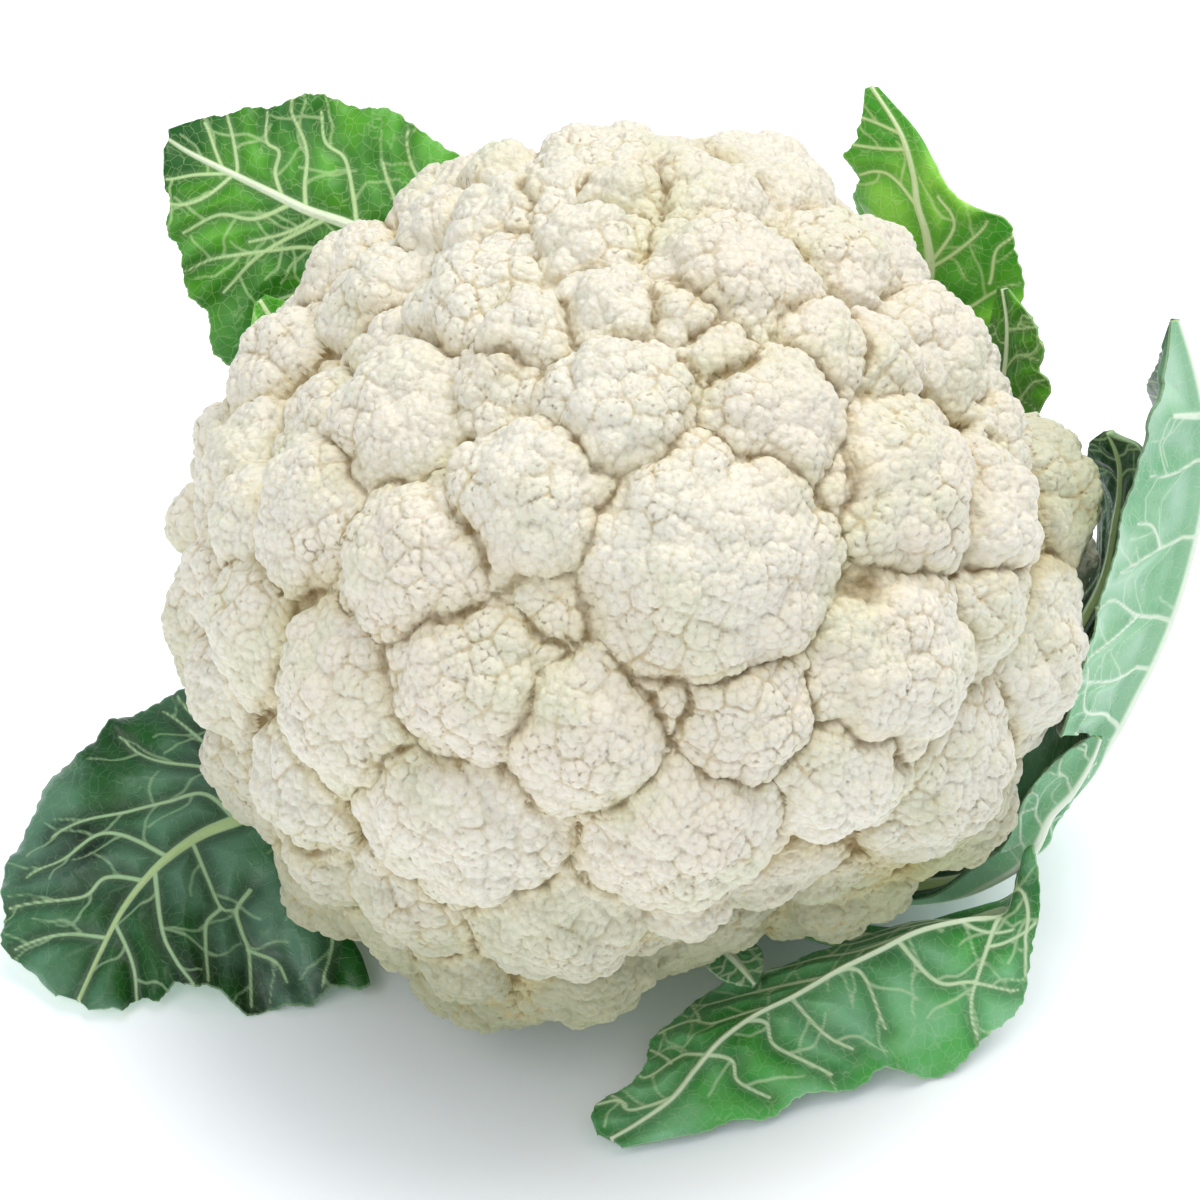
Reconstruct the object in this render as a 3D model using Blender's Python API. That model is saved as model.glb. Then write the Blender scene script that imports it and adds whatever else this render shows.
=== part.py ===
"""A trimmed cauliflower: the curd on its cut stem, with the leaves that are left round it.

World frame: metres, +Z up. The origin is the middle of the stem's cut face, which rests on the
surface. The picture looks along +Y and down, so +X is its right. Bearings turn from +X to +Y.
Every size below is in millimetres and is made metres when a mesh is written.
"""
import math

import bmesh
import bpy
import numpy as np

MM = 0.001
FAR = 1e9
TINY = 1e-6
STEEP = 0.9

# Head
HEAD_CENTRE = np.array((0.0, 0.0, 88.0))
HEAD_RADIUS = 88.0
CORE_DEPTH = 13.0
CREASE_SMOOTHING = 2
HEAD_SUBDIVISIONS = 7
HEAD_KEPT_FACES = 0.098

# Hollow under the head, where the stalks run out: a flat roof and a cone down to the rim
ROOF_Z = 44.0
ROOF_RADIUS = 30.0
RIM_Z = 15.0
RIM_RADIUS = 54.0

# How the picture sees the head, for the places of its florets
PICTURE_MIDDLE = (600.0, 600.0)
PICTURE_HEAD = (612.0, 575.0)
PICTURE_ELEVATION = math.radians(40.0)
PICTURE_DISTANCE = 800.0
PICTURE_FOCAL_PIXELS = 4000.0

# Where the head swells out of a ball or falls short of it: the middle in the picture's pixels,
# the spread in degrees, and the height in mm
HEAD_SWELLS = {
    "upper_left": (325, 300, 24, -12),
    "top_left": (430, 180, 12, -3),
    "top": (700, 115, 18, 3),
    "left": (180, 560, 20, -1),
    "low_left": (235, 790, 14, -2),
    "low": (520, 1040, 20, 4),
    "low_right": (755, 985, 17, -23),
    "right_low": (1003, 846, 16, 4),
    "right": (1117, 545, 17, 9),
    "right_high": (990, 330, 14, -2),
    "upper_left_edge": (290, 345, 11, -7),
    "left_edge": (175, 640, 8, -4),
    "left_up_edge": (190, 480, 8, -3),
    "crown_left": (590, 115, 8, -4),
    "crown": (750, 120, 10, 2),
    "low_left_edge": (265, 905, 8, 4),
    "low_edge": (515, 1035, 9, 2),
    "low_right_edge": (1045, 735, 12, 2),
    "right_up_edge": (1078, 428, 6, -7),
}

# Florets that the picture shows: where the middle of each is seen, in pixels of the picture,
# then its radius and how far its top stands out of the head's radius, in mm
SEEN_FLORETS = {
    "crown": (705, 165, 14, 1),
    "crown_left": (638, 172, 10, 0),
    "back_left_far": (500, 190, 13, 0),
    "back_far": (560, 176, 9, -1),
    "back_mid": (590, 222, 10, 0),
    "top": (745, 250, 17, 2),
    "top_right": (860, 235, 12, 1),
    "small_a": (615, 297, 10, 0),
    "upper_left": (472, 272, 17, 1),
    "left_shoulder": (375, 290, 13, -1),
    "small_b": (520, 322, 9, 1),
    "small_c": (690, 305, 6.5, -1),
    "small_d": (725, 348, 7, -1),
    "small_e": (835, 330, 10, 1),
    "right_far": (905, 225, 11, 0),
    "right_shoulder": (960, 325, 14, 2),
    "small_f": (893, 345, 9, 0),
    "middle_left": (620, 395, 15, 2),
    "middle_right": (790, 405, 15, 2),
    "small_g": (495, 370, 9, -1),
    "left_a": (378, 400, 18, 2),
    "left_b": (300, 405, 13, 0),
    "left_c": (525, 495, 15, 3),
    "right_a": (935, 480, 18, 3),
    "small_h": (848, 482, 7, -3),
    "centre": (725, 558, 25, 5),
    "left_d": (400, 565, 15, 2),
    "left_edge_a": (215, 470, 14, 0),
    "left_edge_b": (288, 500, 15, 1),
    "left_edge_c": (225, 635, 13, -1),
    "sunk_a": (540, 600, 13, -5),
    "low_left_a": (460, 690, 17, 2),
    "low_left_b": (580, 750, 15, 3),
    "low_left_c": (322, 715, 17, 1),
    "low_left_d": (282, 815, 13, 0),
    "small_i": (655, 700, 8, -4),
    "low_middle": (755, 730, 13, 1),
    "low_right_a": (925, 680, 20, 4),
    "low_right_b": (870, 785, 15, 2),
    "low_front": (690, 860, 18, 3),
    "right_edge_a": (1015, 600, 13, 1),
    "right_edge_b": (1055, 510, 15, 3),
    "right_edge_c": (1104, 480, 14, 3),
    "sunk_b": (872, 600, 8, -4),
    "front_left": (440, 850, 20, 2),
    "front_left_edge": (292, 890, 12, 0),
    "front": (545, 958, 17, 1),
    "front_right": (850, 890, 13, -4),
    "front_left_low": (400, 930, 13, 0),
    "front_low": (640, 955, 11, -2),
}

# Florets of the rest of the head, which fill what the seen ones leave
FILL_SEED = 11
FILL_CANDIDATES = 1600
FILL_RADIUS_RANGE = (11.0, 17.0)
FILL_LEAST_ROOM = 5.5
FILL_OVERLAP = 1.12
FILL_LIFT_RANGE = (-1.5, 1.5)
LOWEST_FLORET = math.radians(141.0)

# Buds that each floret carries
BUD_SEED = 5
BUD_BASE_RADIUS = 4.6
BUD_RADIUS_PER_FLORET = 0.16
BUD_SPACING = 1.7
BUD_SINK = 0.60
BUD_REACH = math.radians(98.0)
BUD_JITTER = 0.07
BUD_SIZE_RANGE = (0.85, 1.15)
BUD_LEAST_COUNT = 10
PACKED_AREA = math.sqrt(3.0) / 2.0
GOLDEN_ANGLE = math.pi * (3.0 - math.sqrt(5.0))

# Stem
STEM_SIDES = 32
STEM_RIBS = 8
STEM_RIB_DEPTH = 0.05
STEM_TOP_GAP = 0.6
STEM_SHARP_ANGLE = math.radians(35.0)
CUT_EDGE = 1.2
STEM_PROFILE = (
    (19.3, CUT_EDGE),
    (19.8, 8.0),
    (20.0, 17.0),
    (20.4, 26.0),
    (22.4, 35.0),
    (25.0, ROOF_Z - STEM_TOP_GAP),
)

# Leaves: the blade is thickest under its midrib, which fades from the foot to the tip
BLADE_THICKNESS = 0.8
RIB_TIP_HEIGHT = 0.4
RIB_TIP_WIDTH = 0.9
RIB_LARGEST_SHARE = 0.86
RIB_COLUMNS = 2
RIB_INNER = 0.6
SCALLOP = 0.9
SCALLOP_LARGEST_SHARE = 0.2
SCALLOPED_HALF_WIDTH = 9.0
WAVED_HALF_WIDTH = 8.0
FULLY_WAVED_HALF_WIDTH = 20.0
NORMAL_SMOOTHING = 3
HEAD_CLEARANCE = 94.6
CLEAR_ABOVE_Z = 34.0

# What a leaf has unless it says otherwise: its rows and columns of faces, the waves and the
# bulge of its halves, the scallops of its edges, and the midrib where it starts, in mm
USUAL_BLADE = {
    "rows": 18,
    "columns": 3,
    "waves": 3.0,
    "wave_height": 1.6,
    "bulge": 0.0,
    "scallops": 18,
    "rib_height": 4.6,
    "rib_width": 5.2,
}

CREAM = (0.85, 0.80, 0.66, 1.0)
PALE_GREEN = (0.60, 0.68, 0.40, 1.0)
BRIGHT_GREEN = (0.07, 0.30, 0.04, 1.0)
MID_GREEN = (0.06, 0.22, 0.06, 1.0)
DARK_GREEN = (0.03, 0.13, 0.05, 1.0)
GREY_GREEN = (0.22, 0.40, 0.28, 1.0)


# Scene

def clear_scene():
    for old in list(bpy.data.objects):
        bpy.data.objects.remove(old, do_unlink=True)


def principled(name, colour, roughness):
    material = bpy.data.materials.new(name)
    material.use_nodes = True
    shader = material.node_tree.nodes["Principled BSDF"]
    shader.inputs["Base Color"].default_value = colour
    shader.inputs["Roughness"].default_value = roughness
    shader.inputs["Metallic"].default_value = 0.0
    return material


def add_object(name, mesh, material):
    mesh.materials.append(material)
    piece = bpy.data.objects.new(name, mesh)
    bpy.context.scene.collection.objects.link(piece)
    return piece


# Head

def unit(vector):
    vector = np.asarray(vector, float)
    return vector / np.linalg.norm(vector)


def seen_direction(pixel_x, pixel_y, radius):
    """Direction from the head's centre to the place seen at a pixel on a ball about it."""
    back = np.array((0.0, -math.cos(PICTURE_ELEVATION), math.sin(PICTURE_ELEVATION)))
    right = np.array((1.0, 0.0, 0.0))
    up = np.cross(back, right)
    scale = PICTURE_DISTANCE / PICTURE_FOCAL_PIXELS
    aim = HEAD_CENTRE - right * (PICTURE_HEAD[0] - PICTURE_MIDDLE[0]) * scale
    aim = aim - up * (PICTURE_MIDDLE[1] - PICTURE_HEAD[1]) * scale
    eye = aim + back * PICTURE_DISTANCE
    across = right * (pixel_x - PICTURE_MIDDLE[0]) / PICTURE_FOCAL_PIXELS
    upward = up * (PICTURE_MIDDLE[1] - pixel_y) / PICTURE_FOCAL_PIXELS
    sight = unit(across + upward - back)
    from_centre = eye - HEAD_CENTRE
    along = from_centre @ sight
    inside = along * along - (from_centre @ from_centre - radius ** 2)
    reach = -along - math.sqrt(max(inside, 0.0))
    return unit(from_centre + sight * reach)


def head_radius(directions):
    """Radius of the tops of the florets, with the head's swells, along each direction."""
    radius = np.full(len(directions), HEAD_RADIUS)
    for pixel_x, pixel_y, spread, height in HEAD_SWELLS.values():
        middle = seen_direction(pixel_x, pixel_y, HEAD_RADIUS)
        angle = np.degrees(np.arccos(np.clip(directions @ middle, -1.0, 1.0)))
        radius += height * np.exp(-((angle / spread) ** 2))
    return radius


def golden_directions(count):
    """Directions spread evenly over a sphere, from the top down."""
    steps = np.arange(count)
    height = 1.0 - (2.0 * steps + 1.0) / count
    flat = np.sqrt(1.0 - height * height)
    turn = steps * GOLDEN_ANGLE
    return np.stack((flat * np.cos(turn), flat * np.sin(turn), height), axis=1)


def seen_florets():
    florets = []
    for pixel_x, pixel_y, radius, lift in SEEN_FLORETS.values():
        direction = seen_direction(pixel_x, pixel_y, HEAD_RADIUS)
        ball = head_radius(direction[None])[0] + lift
        florets.append((seen_direction(pixel_x, pixel_y, ball), radius, lift))
    return florets


def fill_florets(florets):
    """Adds florets where there is most room, until all the head is covered."""
    draw = np.random.default_rng(FILL_SEED)
    places = golden_directions(FILL_CANDIDATES)
    places = places[places[:, 2] > math.cos(LOWEST_FLORET)]
    largest = draw.uniform(*FILL_RADIUS_RANGE, len(places))
    lifts = draw.uniform(*FILL_LIFT_RANGE, len(places))
    room = np.full(len(places), FAR)
    for direction, radius, _ in florets:
        away = np.linalg.norm(places - direction, axis=1) * HEAD_RADIUS
        room = np.minimum(room, away - radius)
    while True:
        fitted = np.minimum(room, largest)
        best = int(np.argmax(fitted))
        if fitted[best] < FILL_LEAST_ROOM:
            return florets
        radius = fitted[best] * FILL_OVERLAP
        florets.append((places[best], radius, lifts[best]))
        away = np.linalg.norm(places - places[best], axis=1) * HEAD_RADIUS
        room = np.minimum(room, away - fitted[best])


def turned_to(axis):
    """Three directions at right angles, the last along the axis."""
    helper = (1.0, 0.0, 0.0) if abs(axis[2]) > STEEP else (0.0, 0.0, 1.0)
    first = unit(np.cross(helper, axis))
    return np.stack((first, np.cross(axis, first), axis))


def floret_spheres(florets):
    """Centres and radii of the florets and of the buds on them, about the head's centre."""
    draw = np.random.default_rng(BUD_SEED)
    centres = []
    radii = []
    tops = head_radius(np.array([direction for direction, _, _ in florets]))
    for (direction, radius, lift), top in zip(florets, tops):
        middle = direction * (top + lift - radius)
        centres.append(middle)
        radii.append(radius)
        bud = BUD_BASE_RADIUS + BUD_RADIUS_PER_FLORET * radius
        spacing = bud * BUD_SPACING
        count = int(4.0 * math.pi * radius * radius / (spacing * spacing * PACKED_AREA))
        turn = draw.uniform(0.0, 2.0 * math.pi)
        places = golden_directions(max(count, BUD_LEAST_COUNT)) @ rolled(direction, turn)
        places = places + draw.normal(0.0, BUD_JITTER, places.shape)
        places = places / np.linalg.norm(places, axis=1)[:, None]
        sizes = bud * draw.uniform(*BUD_SIZE_RANGE, len(places))
        for place, size in zip(places, sizes):
            if place @ direction > math.cos(BUD_REACH):
                centres.append(middle + place * (radius - BUD_SINK * size))
                radii.append(size)
    return np.array(centres), np.array(radii)


def rolled(axis, angle):
    """The axis' three directions, turned about it."""
    first, second, last = turned_to(axis)
    return np.stack((
        first * math.cos(angle) + second * math.sin(angle),
        second * math.cos(angle) - first * math.sin(angle),
        last,
    ))


def hollow_reach(directions):
    """How far the hollow under the head lets each direction go."""
    down = -directions[:, 2]
    out = np.hypot(directions[:, 0], directions[:, 1])
    slope = (ROOF_Z - RIM_Z) / (RIM_RADIUS - ROOF_RADIUS)
    drop = HEAD_CENTRE[2] - ROOF_Z
    far = np.full(len(directions), FAR)
    below = down > TINY
    roof = np.where(below, drop / np.maximum(down, TINY), far)
    fall = down - slope * out
    cone = np.where(fall > TINY, (drop - slope * ROOF_RADIUS) / np.maximum(fall, TINY), far)
    on_roof = roof * out <= ROOF_RADIUS
    return np.where(below & on_roof, roof, np.where(below, cone, far))


def head_reach(directions, centres, radii):
    """Distance from the head's centre to its surface, along each direction."""
    reach = head_radius(directions) - CORE_DEPTH
    for centre, radius in zip(centres, radii):
        along = directions @ centre
        inside = along * along - (centre @ centre - radius * radius)
        hit = (inside > 0.0) & (along > 0.0)
        reach[hit] = np.maximum(reach[hit], along[hit] + np.sqrt(inside[hit]))
    return reach


def build_curd(material):
    mesh = bpy.data.meshes.new("curd")
    shape = bmesh.new()
    bmesh.ops.create_icosphere(shape, subdivisions=HEAD_SUBDIVISIONS, radius=1.0)
    shape.to_mesh(mesh)
    shape.free()
    directions = np.empty(len(mesh.vertices) * 3)
    mesh.vertices.foreach_get("co", directions)
    directions = directions.reshape(-1, 3)
    directions /= np.linalg.norm(directions, axis=1)[:, None]
    centres, radii = floret_spheres(fill_florets(seen_florets()))
    reach = head_reach(directions, centres, radii)
    edges = np.empty(len(mesh.edges) * 2, dtype=np.int32)
    mesh.edges.foreach_get("vertices", edges)
    reach = smoothed(reach, edges.reshape(-1, 2))
    reach = np.minimum(reach, hollow_reach(directions))
    points = (HEAD_CENTRE + directions * reach[:, None]) * MM
    mesh.vertices.foreach_set("co", points.ravel())
    mesh.update()
    curd = add_object("curd", mesh, material)
    thin = curd.modifiers.new("Fewer faces", "DECIMATE")
    thin.ratio = HEAD_KEPT_FACES
    return curd


def smoothed(values, edges):
    """Each value drawn half way to its neighbours' mean, which softens the creases."""
    count = np.bincount(edges.ravel(), minlength=len(values))
    for _ in range(CREASE_SMOOTHING):
        total = np.bincount(edges[:, 0], weights=values[edges[:, 1]], minlength=len(values))
        total += np.bincount(edges[:, 1], weights=values[edges[:, 0]], minlength=len(values))
        values = 0.5 * values + 0.5 * total / count
    return values


# Stem

def build_stem(material):
    shape = bmesh.new()
    rings = []
    for radius, height in ((STEM_PROFILE[0][0] - CUT_EDGE, 0.0),) + STEM_PROFILE:
        ring = []
        for side in range(STEM_SIDES):
            turn = 2.0 * math.pi * side / STEM_SIDES
            swell = 1.0 + STEM_RIB_DEPTH * (height / ROOF_Z) * math.cos(STEM_RIBS * turn)
            place = (radius * swell * math.cos(turn), radius * swell * math.sin(turn), height)
            ring.append(shape.verts.new(np.array(place) * MM))
        rings.append(ring)
    for low, high in zip(rings, rings[1:]):
        for side in range(STEM_SIDES):
            after = (side + 1) % STEM_SIDES
            shape.faces.new((low[side], low[after], high[after], high[side]))
    shape.faces.new(reversed(rings[0]))
    shape.faces.new(rings[-1])
    mesh = bpy.data.meshes.new("stem")
    shape.to_mesh(mesh)
    shape.free()
    mesh.shade_smooth()
    mesh.set_sharp_from_angle(angle=STEM_SHARP_ANGLE)
    return add_object("stem", mesh, material)


# Leaves
#
# A leaf is a list of stations from its foot to its tip. Each station holds a point of the
# midrib, the edge on its left and the edge on its right, seen from the leaf's upper face with
# the tip ahead. Smooth curves run through them, and the blade is stretched between.

def stalk(bearing, places, half_width):
    """Stations of a stalk that leaves the stem at a bearing, by (radius, height)."""
    turn = math.radians(bearing)
    out = np.array((math.cos(turn), math.sin(turn), 0.0))
    right = np.array((math.sin(turn), -math.cos(turn), 0.0))
    stations = []
    for radius, height in places:
        middle = out * radius + np.array((0.0, 0.0, height))
        stations.append((middle, middle - right * half_width, middle + right * half_width))
    return stations


def smooth_curve(points, steps):
    """Catmull-Rom curve through the points, read at even steps."""
    points = np.asarray(points, float)
    padded = np.vstack((2 * points[0] - points[1], points, 2 * points[-1] - points[-2]))
    places = np.linspace(0.0, len(points) - 1.0, steps + 1)
    first = np.minimum(places.astype(int), len(points) - 2)
    part = (places - first)[:, None]
    a, b, c, d = (padded[first + k] for k in range(4))
    curve = 2 * b + (c - a) * part + (2 * a - 5 * b + 4 * c - d) * part ** 2
    return 0.5 * (curve + (3 * b - a - 3 * c + d) * part ** 3)


def across_shares(half_width, rib_width, columns):
    """Shares of the half width at which the blade has points: the rib's edge, then evenly."""
    rib = min(rib_width / half_width, RIB_LARGEST_SHARE)
    inner = [0.0, RIB_INNER * rib, rib]
    return np.array(inner + [rib + (1.0 - rib) * k / columns for k in range(1, columns + 1)])


def half_row(middle, edge, side, normal, along, form):
    """Points from the midrib to one edge of the upper face, and the rib's depth under each."""
    rib_width = form["rib_width"] + (RIB_TIP_WIDTH - form["rib_width"]) * along
    rib_height = form["rib_height"] + (RIB_TIP_HEIGHT - form["rib_height"]) * along
    reach = edge - middle
    width = np.linalg.norm(reach)
    shares = across_shares(width, rib_width, form["columns"])
    scallop = 0.0
    if width > SCALLOPED_HALF_WIDTH:
        scallop = min(SCALLOP / width, SCALLOP_LARGEST_SHARE) * math.sin(math.pi * form["scallops"] * along)
    waved = (width - WAVED_HALF_WIDTH) / (FULLY_WAVED_HALF_WIDTH - WAVED_HALF_WIDTH)
    waved = min(max(waved, 0.0), 1.0)
    wave = form["wave_height"] * math.sin(2.0 * math.pi * form["waves"] * along + side)
    lift = waved * (form["bulge"] * 4.0 * shares * (1.0 - shares) + wave * shares ** 2)
    points = middle + np.outer(shares * (1.0 + scallop * shares), reach) + np.outer(lift, normal)
    depth = rib_height * np.clip(1.0 - (shares * width / rib_width) ** 2, 0.0, 1.0)
    return points, depth


def leaf_surface(stations, form):
    """Grid of upper-face points, and the rib's depth under each."""
    rows = form["rows"]
    middle = smooth_curve([station[0] for station in stations], rows)
    left = smooth_curve([station[1] for station in stations], rows)
    right = smooth_curve([station[2] for station in stations], rows)
    ahead = np.gradient(middle, axis=0)
    points = []
    depths = []
    for k in range(rows + 1):
        normal = unit(np.cross(right[k] - left[k], ahead[k]))
        left_points, left_depths = half_row(middle[k], left[k], -1, normal, k / rows, form)
        right_points, right_depths = half_row(middle[k], right[k], 1, normal, k / rows, form)
        points.append(np.vstack((left_points[:0:-1], right_points)))
        depths.append(np.concatenate((left_depths[:0:-1], right_depths)))
    return np.array(points), np.array(depths)


def kept_off_head(points):
    """Moves points that are beside the head out to a ball that clears its buds."""
    from_centre = points - HEAD_CENTRE
    distance = np.linalg.norm(from_centre, axis=-1)
    low = (points[..., 2] < CLEAR_ABOVE_Z)
    scale = np.where((distance < HEAD_CLEARANCE) & ~low, HEAD_CLEARANCE / distance, 1.0)
    return HEAD_CENTRE + from_centre * scale[..., None]


def evened(normals):
    """Normals drawn towards those of their neighbours along the leaf and across it."""
    for _ in range(NORMAL_SMOOTHING):
        for axis in (0, 1):
            ends = [(1, 1) if k == axis else (0, 0) for k in range(3)]
            padded = np.pad(normals, ends, mode="edge")
            before = np.take(padded, range(normals.shape[axis]), axis=axis)
            after = np.take(padded, range(2, normals.shape[axis] + 2), axis=axis)
            normals = before + 2.0 * normals + after
            normals = normals / np.linalg.norm(normals, axis=2)[..., None]
    return normals


def leaf_normals(upper):
    """Unit normals of the upper face. The rib's points share the midrib's, so it stays whole."""
    normals = np.cross(np.gradient(upper, axis=1), np.gradient(upper, axis=0))
    normals = evened(normals / np.linalg.norm(normals, axis=2)[..., None])
    middle = upper.shape[1] // 2
    normals[:, middle - RIB_COLUMNS:middle + RIB_COLUMNS + 1] = normals[:, middle:middle + 1]
    return normals


def sheet_faces(count_along, count_across):
    """Triangles of the upper face, of the lower face split alike, and of the rim between."""
    size = count_along * count_across
    index = np.arange(size).reshape(count_along, count_across)
    faces = []
    for k in range(count_along - 1):
        for j in range(count_across - 1):
            a, b = index[k, j], index[k, j + 1]
            c, d = index[k + 1, j + 1], index[k + 1, j]
            faces += [(a, b, c), (a, c, d)]
            faces += [(size + a, size + c, size + b), (size + a, size + d, size + c)]
    border = list(index[0]) + list(index[1:, -1]) + list(index[-1, -2::-1]) + list(index[-2:0:-1, 0])
    for a, b in zip(border, border[1:] + border[:1]):
        faces += [(a, size + a, size + b), (a, size + b, b)]
    return [tuple(int(vertex) for vertex in face) for face in faces]


def build_leaf(name, stations, material, **changes):
    form = {**USUAL_BLADE, **changes}
    upper, depths = leaf_surface(stations, form)
    upper = kept_off_head(upper)
    lower = upper - leaf_normals(upper) * (BLADE_THICKNESS + depths)[..., None]
    points = np.vstack((upper.reshape(-1, 3), lower.reshape(-1, 3))) * MM
    mesh = bpy.data.meshes.new(name)
    mesh.from_pydata([tuple(point) for point in points], [], sheet_faces(*upper.shape[:2]))
    mesh.update()
    mesh.shade_smooth()
    return add_object(name, mesh, material)


def leaf_front_left():
    foot = stalk(178, ((22.5, 10), (44, 9), (58, 12)), 5.8)
    return foot + [
        ((-66, 4, 17), (-55, -19, 7), (-76, 34, 22)),
        ((-74, 5, 19), (-51, -31, 3), (-82, 44, 24)),
        ((-79, 2, 19), (-60, -34, 3), (-90, 40, 25)),
        ((-86, -1, 18), (-72, -38, 3), (-102, 33, 22)),
        ((-92, -6, 17), (-81, -35, 4), (-113, 24, 20)),
        ((-97, -11, 15), (-89, -34, 6), (-123, 12, 16)),
        ((-102, -18, 12), (-95, -35, 4), (-128, -7, 10)),
        ((-106, -26, 8), (-101, -37, 3), (-126, -23, 6)),
        ((-110, -36, 4), (-108, -38, 3), (-115, -35, 4)),
    ]


def leaf_front_right():
    foot = stalk(-22, ((22.5, 8), (42, 7), (61, 8)), 4.2)
    return foot + [
        ((70, -22, 11), (72.5, -18, 11.5), (67.5, -26, 11)),
        ((79, -23, 16), (82.5, -20.5, 19), (75, -27, 15)),
        ((81, -27, 20), (84.5, -24.5, 31), (77, -29, 18)),
        ((81, -30.5, 23), (84, -26.5, 40), (76, -31, 20)),
        ((78, -34, 25.5), (87, -34, 29), (72, -31.5, 21.5)),
        ((71, -35.5, 26.5), (85, -40.5, 16), (64, -31, 22)),
        ((62, -37, 25), (80, -46, 7), (55, -32, 20)),
        ((54, -40, 22.5), (72, -52, 3), (46, -34, 17.5)),
        ((46, -43, 20), (63, -57, 3), (37, -35, 14)),
        ((37, -46.5, 16), (55, -58, 7), (26, -36, 9.5)),
        ((29, -50, 14), (46, -61.5, 4), (17, -40, 7)),
        ((22, -55, 12), (36, -65, 3), (10, -47, 6)),
        ((17, -60, 9), (27, -69, 3), (7, -54, 5.5)),
        ((12, -66, 6.5), (18, -72, 3), (2, -62, 5)),
        ((5, -71, 4.5), (10, -74, 3), (-4, -67, 4)),
        ((0, -74, 3.5), (2, -76, 3), (-3, -73, 3.5)),
    ]


def leaf_back_left():
    foot = stalk(128, ((22.5, 20), (46, 13), (68, 15), (88, 32), (96, 56)), 5.8)
    return foot + [
        ((-57, 77, 82), (-72, 70, 64), (-36, 92, 92)),
        ((-52, 79, 103), (-78, 70, 75), (-30, 94, 116)),
        ((-49, 79, 114), (-81, 70, 83), (-31, 92, 127)),
        ((-56, 81, 117), (-84, 74, 89), (-45, 96, 134)),
        ((-64, 83, 119), (-87, 76, 97), (-54, 98, 136)),
        ((-71, 86, 121), (-91, 79, 105), (-65, 99, 137)),
        ((-78, 89, 123), (-93, 82, 113), (-74, 99, 134)),
        ((-85, 92, 125), (-94, 87, 118), (-82, 99, 133)),
        ((-90, 95, 126), (-95, 92, 122), (-89, 99, 131)),
        ((-94, 98, 127), (-95, 96, 126), (-94, 99, 129)),
    ]


def leaf_back_left_small():
    foot = stalk(150, ((22.5, 10), (46, 9), (70, 16), (88, 36)), 5.0)
    return foot + [
        ((-76, 56, 62), (-84, 44, 60), (-66, 66, 66)),
        ((-70, 63, 84), (-80, 55, 84), (-60, 72, 88)),
        ((-68, 66, 95), (-77, 60, 96), (-60, 71, 100)),
        ((-71, 68, 100), (-76, 63, 100), (-66, 71, 103)),
        ((-74, 70, 105), (-75, 69, 105), (-73, 71, 106)),
    ]


def leaf_back():
    foot = stalk(96, ((22.5, 10), (46, 9), (72, 14), (92, 34)), 5.6)
    return foot + [
        ((-10, 99, 56), (-24, 95, 54), (6, 100, 54)),
        ((-9, 102, 76), (-30, 96, 74), (14, 101, 74)),
        ((-8, 107, 92), (-24, 102, 94), (12, 106, 92)),
        ((-7, 112, 103), (-16, 110, 104), (4, 112, 103)),
        ((-6, 116, 108), (-8, 116, 108), (-4, 116, 108)),
    ]


def leaf_back_right():
    foot = stalk(62, ((22.5, 20), (46, 13), (68, 15), (88, 32), (97, 56)), 5.8)
    return foot + [
        ((53, 82, 80), (38, 89, 78), (72, 68, 78)),
        ((64, 75, 97), (52, 84, 93), (77, 67, 91)),
        ((67, 74, 109), (55, 85, 106), (85, 66, 108)),
        ((66, 75, 118), (52, 86, 116), (83, 68, 123)),
        ((64, 77, 124), (51, 87, 125), (71, 75, 129)),
        ((63, 80, 130), (50, 88, 131), (67, 79, 134)),
        ((60, 84, 138), (52, 87.5, 138.5), (63.5, 84, 138.5)),
        ((54, 89, 146), (52.6, 89, 145.4), (55.4, 89, 146)),
    ]


def leaf_back_right_small():
    foot = stalk(36, ((22.5, 10), (46, 9), (70, 15), (89, 36)), 5.4)
    return foot + [
        ((78, 54, 60), (68, 66, 56), (86, 42, 60)),
        ((80, 52, 80), (71, 64, 76), (87, 39, 84)),
        ((81, 51, 92), (76, 59, 88), (89, 41, 101)),
        ((82, 53, 101), (77, 60, 97), (88, 45, 108)),
        ((82, 56, 109), (79, 61, 106), (87, 50, 113)),
        ((81, 60, 115), (80, 61, 115), (82, 59, 116)),
    ]


def leaf_right_inner():
    foot = stalk(17, ((22.5, 20), (46, 15), (70, 18), (94, 34), (107, 56)), 4.6)
    return foot + [
        ((105, 33, 76), (102, 42, 74), (109, 25, 76)),
        ((105, 33, 87), (100, 42, 82), (109, 27, 91)),
        ((104, 34, 92), (99, 40, 90), (108, 31, 96)),
        ((102, 36, 96), (101, 37, 95.5), (103, 35, 96)),
    ]


def leaf_right():
    foot = stalk(2, ((22.5, 10), (48, 9)), 5.0)
    return foot + [
        ((76, 2.6, 13), (75.6, 8, 13.5), (75.5, -7, 12)),
        ((94, 3, 28), (90, 25, 24), (95, -2, 29)),
        ((101, 1, 46), (101, 34, 36), (98, -5, 49)),
        ((105, 3, 55), (107, 36, 46), (88, -27, 70)),
        ((109, 6, 63), (111, 37, 54), (92, -22, 82)),
        ((113, 10, 74), (114, 38, 63), (94, -16, 91)),
        ((116, 14, 88), (116, 43, 76), (98, -10, 100)),
        ((117, 16, 99), (114, 45, 86), (101, -5, 108)),
        ((117, 18, 109), (112, 43, 98), (104, 3, 120)),
        ((115, 20, 118), (110, 37, 110), (106, 8, 126)),
        ((112.5, 21, 127), (110, 28, 124), (108.5, 15, 130)),
        ((110, 22, 134.5), (110, 23, 134.5), (109.5, 21.3, 135)),
    ]


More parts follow.
